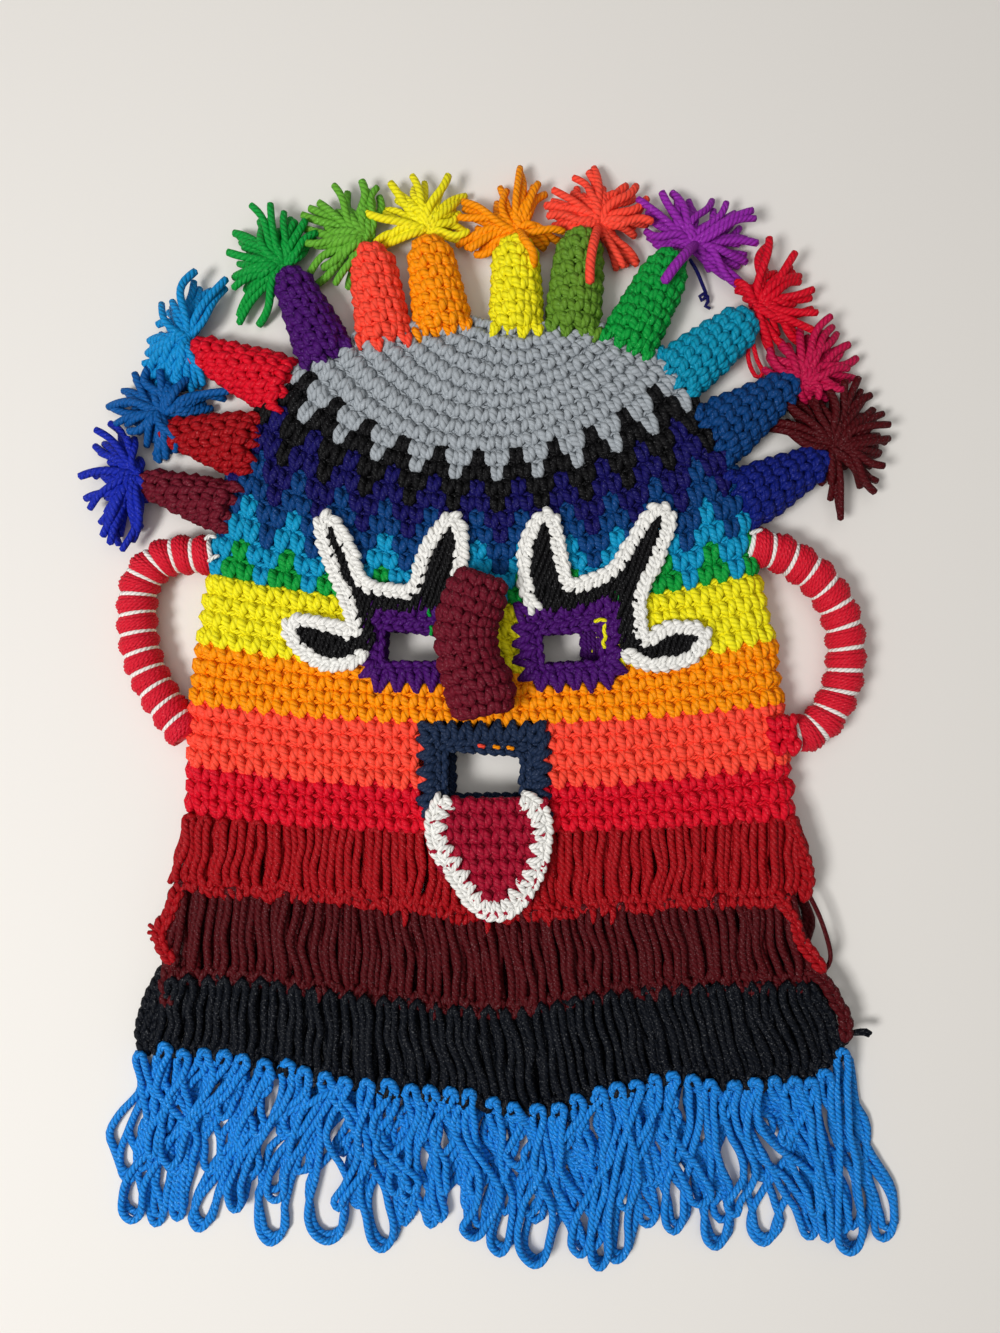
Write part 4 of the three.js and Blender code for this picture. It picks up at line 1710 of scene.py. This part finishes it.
PATCHES = (
    Patch("eye_patch_left", "patch_black", (
        (455, 582), (460, 565), (462, 545), (460, 529), (454, 519), (446, 521), (439, 531), (431, 543),
        (424, 555), (420, 568), (417, 582), (411, 591), (400, 593), (385, 590), (370, 588), (361, 580),
        (356, 568), (352, 555), (345, 541), (338, 528), (331, 519), (325, 519), (321, 526), (323, 540),
        (328, 555), (333, 568), (338, 580), (344, 592), (349, 605), (353, 618), (355, 630), (350, 637),
        (343, 630), (335, 627), (320, 624), (305, 621), (293, 622), (288, 629), (294, 641), (302, 651),
        (313, 659), (325, 664), (340, 665), (352, 662), (361, 657),
    ), 22.0, (
        (371, 650), (375, 635), (370, 620), (374, 610), (395, 611), (410, 613), (430, 610), (446, 604),
    )),
    Patch("eye_patch_right", "patch_black", (
        (534, 607), (528, 595), (525, 580), (525, 565), (526, 550), (530, 535), (537, 522), (546, 515),
        (553, 520), (556, 532), (559, 548), (562, 565), (566, 580), (573, 587), (582, 584), (595, 580),
        (610, 573), (620, 562), (629, 547), (640, 530), (650, 516), (660, 508), (668, 515), (668, 530),
        (663, 545), (657, 560), (650, 574), (643, 587), (640, 600), (640, 618), (641, 634), (646, 642),
        (654, 637), (663, 631), (676, 628), (690, 628), (702, 631), (705, 640), (699, 650), (689, 659),
        (672, 664), (655, 665), (640, 661), (629, 655),
    ), 22.0, (
        (622, 650), (618, 640), (618, 620), (619, 602), (604, 597), (590, 604), (570, 609), (550, 613),
    )),
)
TONGUE = Tongue("tongue", "crimson_yarn", (
    (440, 800), (433, 812), (431, 828), (434, 845), (441, 860), (451, 874), (461, 890), (471, 904),
    (483, 914), (497, 917), (511, 912), (523, 901), (533, 888), (540, 871), (545, 852), (547, 834),
    (546, 818), (540, 806), (530, 798),
), 23.6)
HORNS = (
    Horn("wine", "wine_yarn", (222, 507), (143, 482), 12, 8.2, Tassel(
        "royal_blue", "royal_blue_yarn", (-163, 77), (
            (110, 424), (102, 434), (94, 446), (130, 440), (84, 479), (92, 510), (100, 523), (108, 538),
            (116, 546), (126, 552), (134, 542), (140, 528),
        ),
    )),
    Horn("dark_red", "dark_red_yarn", (243, 446), (163, 432), 15, 8.5, Tassel(
        "petrol", "marine_yarn", (-151, 106), (
            (107, 407), (122, 391), (136, 375), (150, 370), (163, 374), (190, 380), (218, 395), (232, 395),
            (178, 454), (168, 460), (158, 462), (146, 446), (132, 434), (117, 426),
        ),
    )),
    Horn("red", "red_yarn", (278, 386), (194, 350), 14, 9.5, Tassel(
        "sky_blue", "sky_blue_yarn", (-139, 141), (
            (199, 276), (229, 283), (165, 308), (174, 304), (183, 302), (157, 325), (149, 342), (147, 354),
            (145, 366), (148, 378), (157, 386), (168, 390), (180, 390), (193, 392), (206, 388),
        ),
    )),
    Horn("purple", "purple_yarn", (324, 350), (288, 273), 12.8, 10, Tassel(
        "green", "green_yarn", (-95, 174), (
            (234, 233), (244, 249), (255, 213), (263, 228), (274, 212), (286, 217), (296, 224), (307, 225),
            (318, 236), (232, 259), (234, 279), (237, 294), (239, 324),
        ),
    )),
    Horn("coral", "coral_yarn", (384, 333), (370, 249), 12.6, 10.8, Tassel(
        "light_green", "light_green_yarn", (-56, 187), (
            (302, 215), (320, 206), (336, 192), (363, 186), (378, 190), (307, 248), (310, 279), (337, 289),
        ),
    )),
    Horn("orange", "orange_yarn", (442, 322), (428, 242), 13, 11.2, Tassel(
        "yellow", "yellow_yarn", (-28, 191), (
            (391, 186), (413, 181), (449, 182), (466, 195), (368, 220), (376, 246), (469, 237),
        ),
    )),
    Horn("yellow", "yellow_yarn", (516, 322), (516, 242), 12.2, 11.2, Tassel(
        "orange", "orange_yarn", (14.5, 190), (
            (520, 170), (500, 187), (530, 192), (538, 188), (463, 206), (459, 222), (457, 246), (470, 255),
            (563, 239), (547, 248),
        ), (
            ("orange_yarn", 2.0, ((519, 232, 13), (526, 242, 23), (533, 253, 23), (534, 266, 18))),
        ),
    )),
    Horn("olive", "olive_yarn", (573, 322), (581, 234), 12.6, 11.4, Tassel(
        "coral", "coral_yarn", (53, 195), (
            (594, 168), (573, 180), (552, 198), (545, 207), (547, 224), (587, 192), (617, 196), (635, 191),
            (646, 202), (650, 229), (637, 266), (622, 273),
        ), (
            ("coral_yarn", 2.2, (
                (598, 228, 13), (594, 242, 23), (591, 258, 26), (590, 270, 26.5), (590, 283, 26),
            )),
        ),
    )),
    Horn("green", "green_yarn", (630, 340), (674, 257), 13.2, 11.2, Tassel(
        "purple", "violet_yarn", (95, 184), (
            (636, 205), (660, 198), (677, 198), (689, 200), (724, 208), (749, 217), (752, 225), (756, 246),
            (747, 261), (745, 286), (645, 234),
        ), (
            ("violet_yarn", 2.4, ((694, 246, 13), (686, 254, 23), (674, 268, 26.5), (664, 282, 26))),
            ("navy_yarn", 0.9, (
                (690, 260, 12), (697, 272, 8), (702, 284, 6), (706, 295, 4), (703, 301, 4), (699, 298, 5),
                (704, 294, 5), (709, 300, 4), (705, 306, 3), (710, 309, 3),
            )),
        ),
    )),
    Horn("teal", "turquoise_yarn", (683, 372), (750, 319), 13.4, 10.8, Tassel(
        "red", "red_yarn", (126, 157), (
            (766, 244), (791, 259), (799, 278), (810, 294), (812, 319), (811, 335), (792, 356), (733, 287),
        ), (
            ("red_yarn", 1.1, (
                (754, 336, 9), (748, 350, 8), (750, 366, 6), (757, 378, 4), (763, 373, 5), (757, 360, 7),
                (753, 344, 9),
            )),
        ),
    )),
    Horn("blue", "petrol_yarn", (722, 432), (793, 382), 15, 9.6, Tassel(
        "crimson", "raspberry_yarn", (146, 121), (
            (826, 322), (831, 329), (836, 335), (847, 347), (855, 360), (855, 378), (845, 372), (838, 394),
            (826, 401), (814, 403), (763, 370), (768, 351), (780, 342), (800, 330),
        ),
    )),
    Horn("navy", "ink_blue_yarn", (748, 498), (826, 458), 14, 9.6, Tassel(
        "maroon", "maroon_yarn", (161, 90), (
            (855, 381), (862, 390), (869, 397), (882, 415), (885, 428), (887, 440), (880, 453), (879, 469),
            (876, 482), (872, 494), (838, 521), (827, 487), (763, 423), (784, 407), (792, 400), (800, 404),
            (812, 400), (824, 396), (840, 385),
        ),
    )),
)
HEMS = (
    Hem(((180, 824), (250, 830), (374, 837), (470, 842), (607, 837), (720, 831), (800, 826)), 15.7),
    Hem(((173, 890), (250, 897), (374, 908), (470, 921), (540, 919), (607, 913), (700, 906),
         (797, 905)), 12.6),
    Hem(((164, 985), (240, 986), (323, 997), (430, 1011), (514, 1016), (607, 1000), (700, 993),
         (812, 990)), 10),
    Hem(((152, 1054), (247, 1065), (355, 1089), (420, 1098), (483, 1110), (520, 1116), (556, 1115),
         (610, 1098), (671, 1083), (740, 1090), (837, 1071)), 8),
)
BACK_HEMS = (
    Hem(((183, 824), (374, 834), (607, 834), (801, 826)), 0),
    Hem(((166, 892), (374, 905), (607, 910), (808, 892)), 0),
    Hem(((158, 985), (323, 990), (607, 995), (817, 975)), 0),
    Hem(((138, 1050), (355, 1086), (520, 1110), (600, 1098), (700, 1080), (853, 1052)), 0),
)
LOOP_ROWS = (
    LoopRow("loops_dark_red", "dark_red_yarn", HEMS[0], HEMS[1],
            drips=((549, 927), (592, 925), (611, 925), (721, 912), (385, 916), (404, 927), (487, 934)),
            borders=(((778, 898), (792, 918), (800, 940), (811, 954), (820, 966)),
                     ((176, 896), (169, 914), (161, 928), (159, 940), (163, 950), (168, 959)),
                     ((790, 824), (801, 850), (808, 872), (806, 894))),
            threads=(((164, 930), (156, 930), (149, 925)), ((164, 932), (156, 933), (148, 933)),
                     ((164, 934), (157, 937), (151, 940)))),
    LoopRow("loops_maroon", "maroon_yarn", HEMS[1], HEMS[2], drips=((318, 1004), (433, 1022)),
            borders=(((812, 972), (826, 984), (836, 1002), (846, 1020), (846, 1036)),
                     ((172, 962), (167, 978), (165, 990), (166, 1001))),
            threads=(((808, 893), (820, 918), (829, 946), (830, 962), (822, 974)),)),
    LoopRow("loops_black", "black_yarn", HEMS[2], HEMS[3], hump=2.6,
            borders=(((168, 968), (156, 985), (147, 1008), (141, 1030), (143, 1046)),
                     ((168, 985), (159, 1004), (152, 1024), (149, 1044)),
                     ((810, 988), (820, 1004), (830, 1022), (838, 1042), (840, 1056))),
            threads=(((844, 1036), (856, 1032), (866, 1031), (871, 1034)),
                     ((844, 1034), (854, 1034), (864, 1034), (869, 1036)))),
)
BACK_LOOP_ROWS = [replace(row, top=top, bottom=bottom, hump=0.0, side=Side.BACK)
                  for row, top, bottom in zip(LOOP_ROWS, BACK_HEMS, BACK_HEMS[1:])]
ARCHES = (
    (139, 1053), (164, 1044), (183, 1050), (203, 1050), (223, 1052), (242, 1055), (264, 1060),
    (287, 1061), (303, 1067), (325, 1074), (345, 1078), (367, 1080), (387, 1080), (410, 1085),
    (430, 1087), (450, 1088), (469, 1091), (492, 1099), (514, 1104), (538, 1105), (558, 1104),
    (577, 1096), (599, 1088), (616, 1083), (636, 1082), (655, 1076), (673, 1073), (692, 1076),
    (710, 1081), (734, 1081), (754, 1079), (774, 1079), (793, 1077), (810, 1079), (824, 1071),
    (842, 1049),
)
LOBES = (
    (131, 1224, 28), (156, 1227, 22), (177, 1222, 18), (200, 1233, 26), (270, 1246, 34), (325, 1246, 44),
    (235, 1215, 20), (381, 1253, 34), (405, 1227, 18), (430, 1229, 22), (474, 1244, 28), (499, 1257, 26),
    (533, 1269, 38), (580, 1258, 26), (599, 1272, 26), (617, 1265, 28), (646, 1229, 22), (674, 1235, 26),
    (715, 1251, 32), (763, 1248, 34), (809, 1241, 22), (827, 1245, 18), (849, 1257, 28), (884, 1241, 26),
)
FRINGES = (
    Fringe("front_fringe_blue", ARCHES, LOBES),
    Fringe("back_fringe_blue", ARCHES, tuple((x + 4, y - 6, w) for x, y, w in LOBES), Side.BACK),
)


# The studio


@dataclass
class Studio:
    """The plain floor, the soft light and the camera straight above."""

    camera: Spot = EYE
    lens: float = 27.18
    nearest: float = 10.0
    floor: float = 3000.0
    floor_colour: str = "E6E2DC"
    room_light: tuple[float, ...] = (1.0, 0.985, 0.965, 1.0)
    room_strength: float = 0.25
    lamps: tuple[tuple[str, Spot, float, float], ...] = (
        ("window", (-740, -400, 1250), 420, 16.8), ("fill", (-20, 260, 1400), 1200, 3.9))

    def build(self) -> None:
        """Sets the floor, the lights and the camera."""
        body = bmesh.new()
        bmesh.ops.create_grid(body, x_segments=1, y_segments=1, size=self.floor / 2 * MM)
        shader = Shader("floor")
        skin = shader.node("ShaderNodeBsdfPrincipled", {}, Base_Color=linear(self.floor_colour),
                           Roughness=0.9)
        cast(body, "floor", [shader.finish(skin)])
        world = bpy.data.worlds.new("room")
        world.use_nodes = True
        sky = world.node_tree.nodes["Background"].inputs
        sky[0].default_value, sky[1].default_value = self.room_light, self.room_strength
        bpy.context.scene.world = world
        for name, place, size, power in self.lamps:
            light = bpy.data.lights.new(name, "AREA")
            light.size, light.energy = size * MM, power
            lamp = placed(light)
            lamp.location = Vector(place) * MM
            lamp.rotation_euler = (-Vector(place)).to_track_quat("-Z", "Y").to_euler()
        bpy.context.scene.view_settings.view_transform = "Standard"
        eye = bpy.data.cameras.new("camera")
        eye.lens, eye.clip_start = self.lens, self.nearest * MM
        camera = placed(eye)
        camera.location = Vector(self.camera) * MM
        bpy.context.scene.camera = camera


def main() -> None:
    """Builds the hood in order and reports each piece."""
    logging.basicConfig(level=logging.INFO, format="%(message)s")
    Studio().build()
    basket = {yarn.slot: yarn.material() for yarn in YARNS}
    pieces = []
    for maker in (Hood(), *EARS, Nose(), *RIMS, *BACK_RIMS, *PATCHES, TONGUE, *HORNS, *LOOP_ROWS,
                  *BACK_LOOP_ROWS, *FRINGES):
        for piece in maker.build(basket):
            node = piece.name.removeprefix("worked_").removesuffix("_backing")
            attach(piece, "root")
            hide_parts("hood" if node.startswith("hood") else node)
            pieces.append(piece)
            LOG.info("%s: %d faces", piece.name, len(piece.data.polygons))
    shell, *others = pieces
    worn = [p for p in others if any(part in p.name for part in ("hood", "_rim", "loops", "fringe"))]
    bpy.context.view_layer.update()


if __name__ == "__main__":
    main()
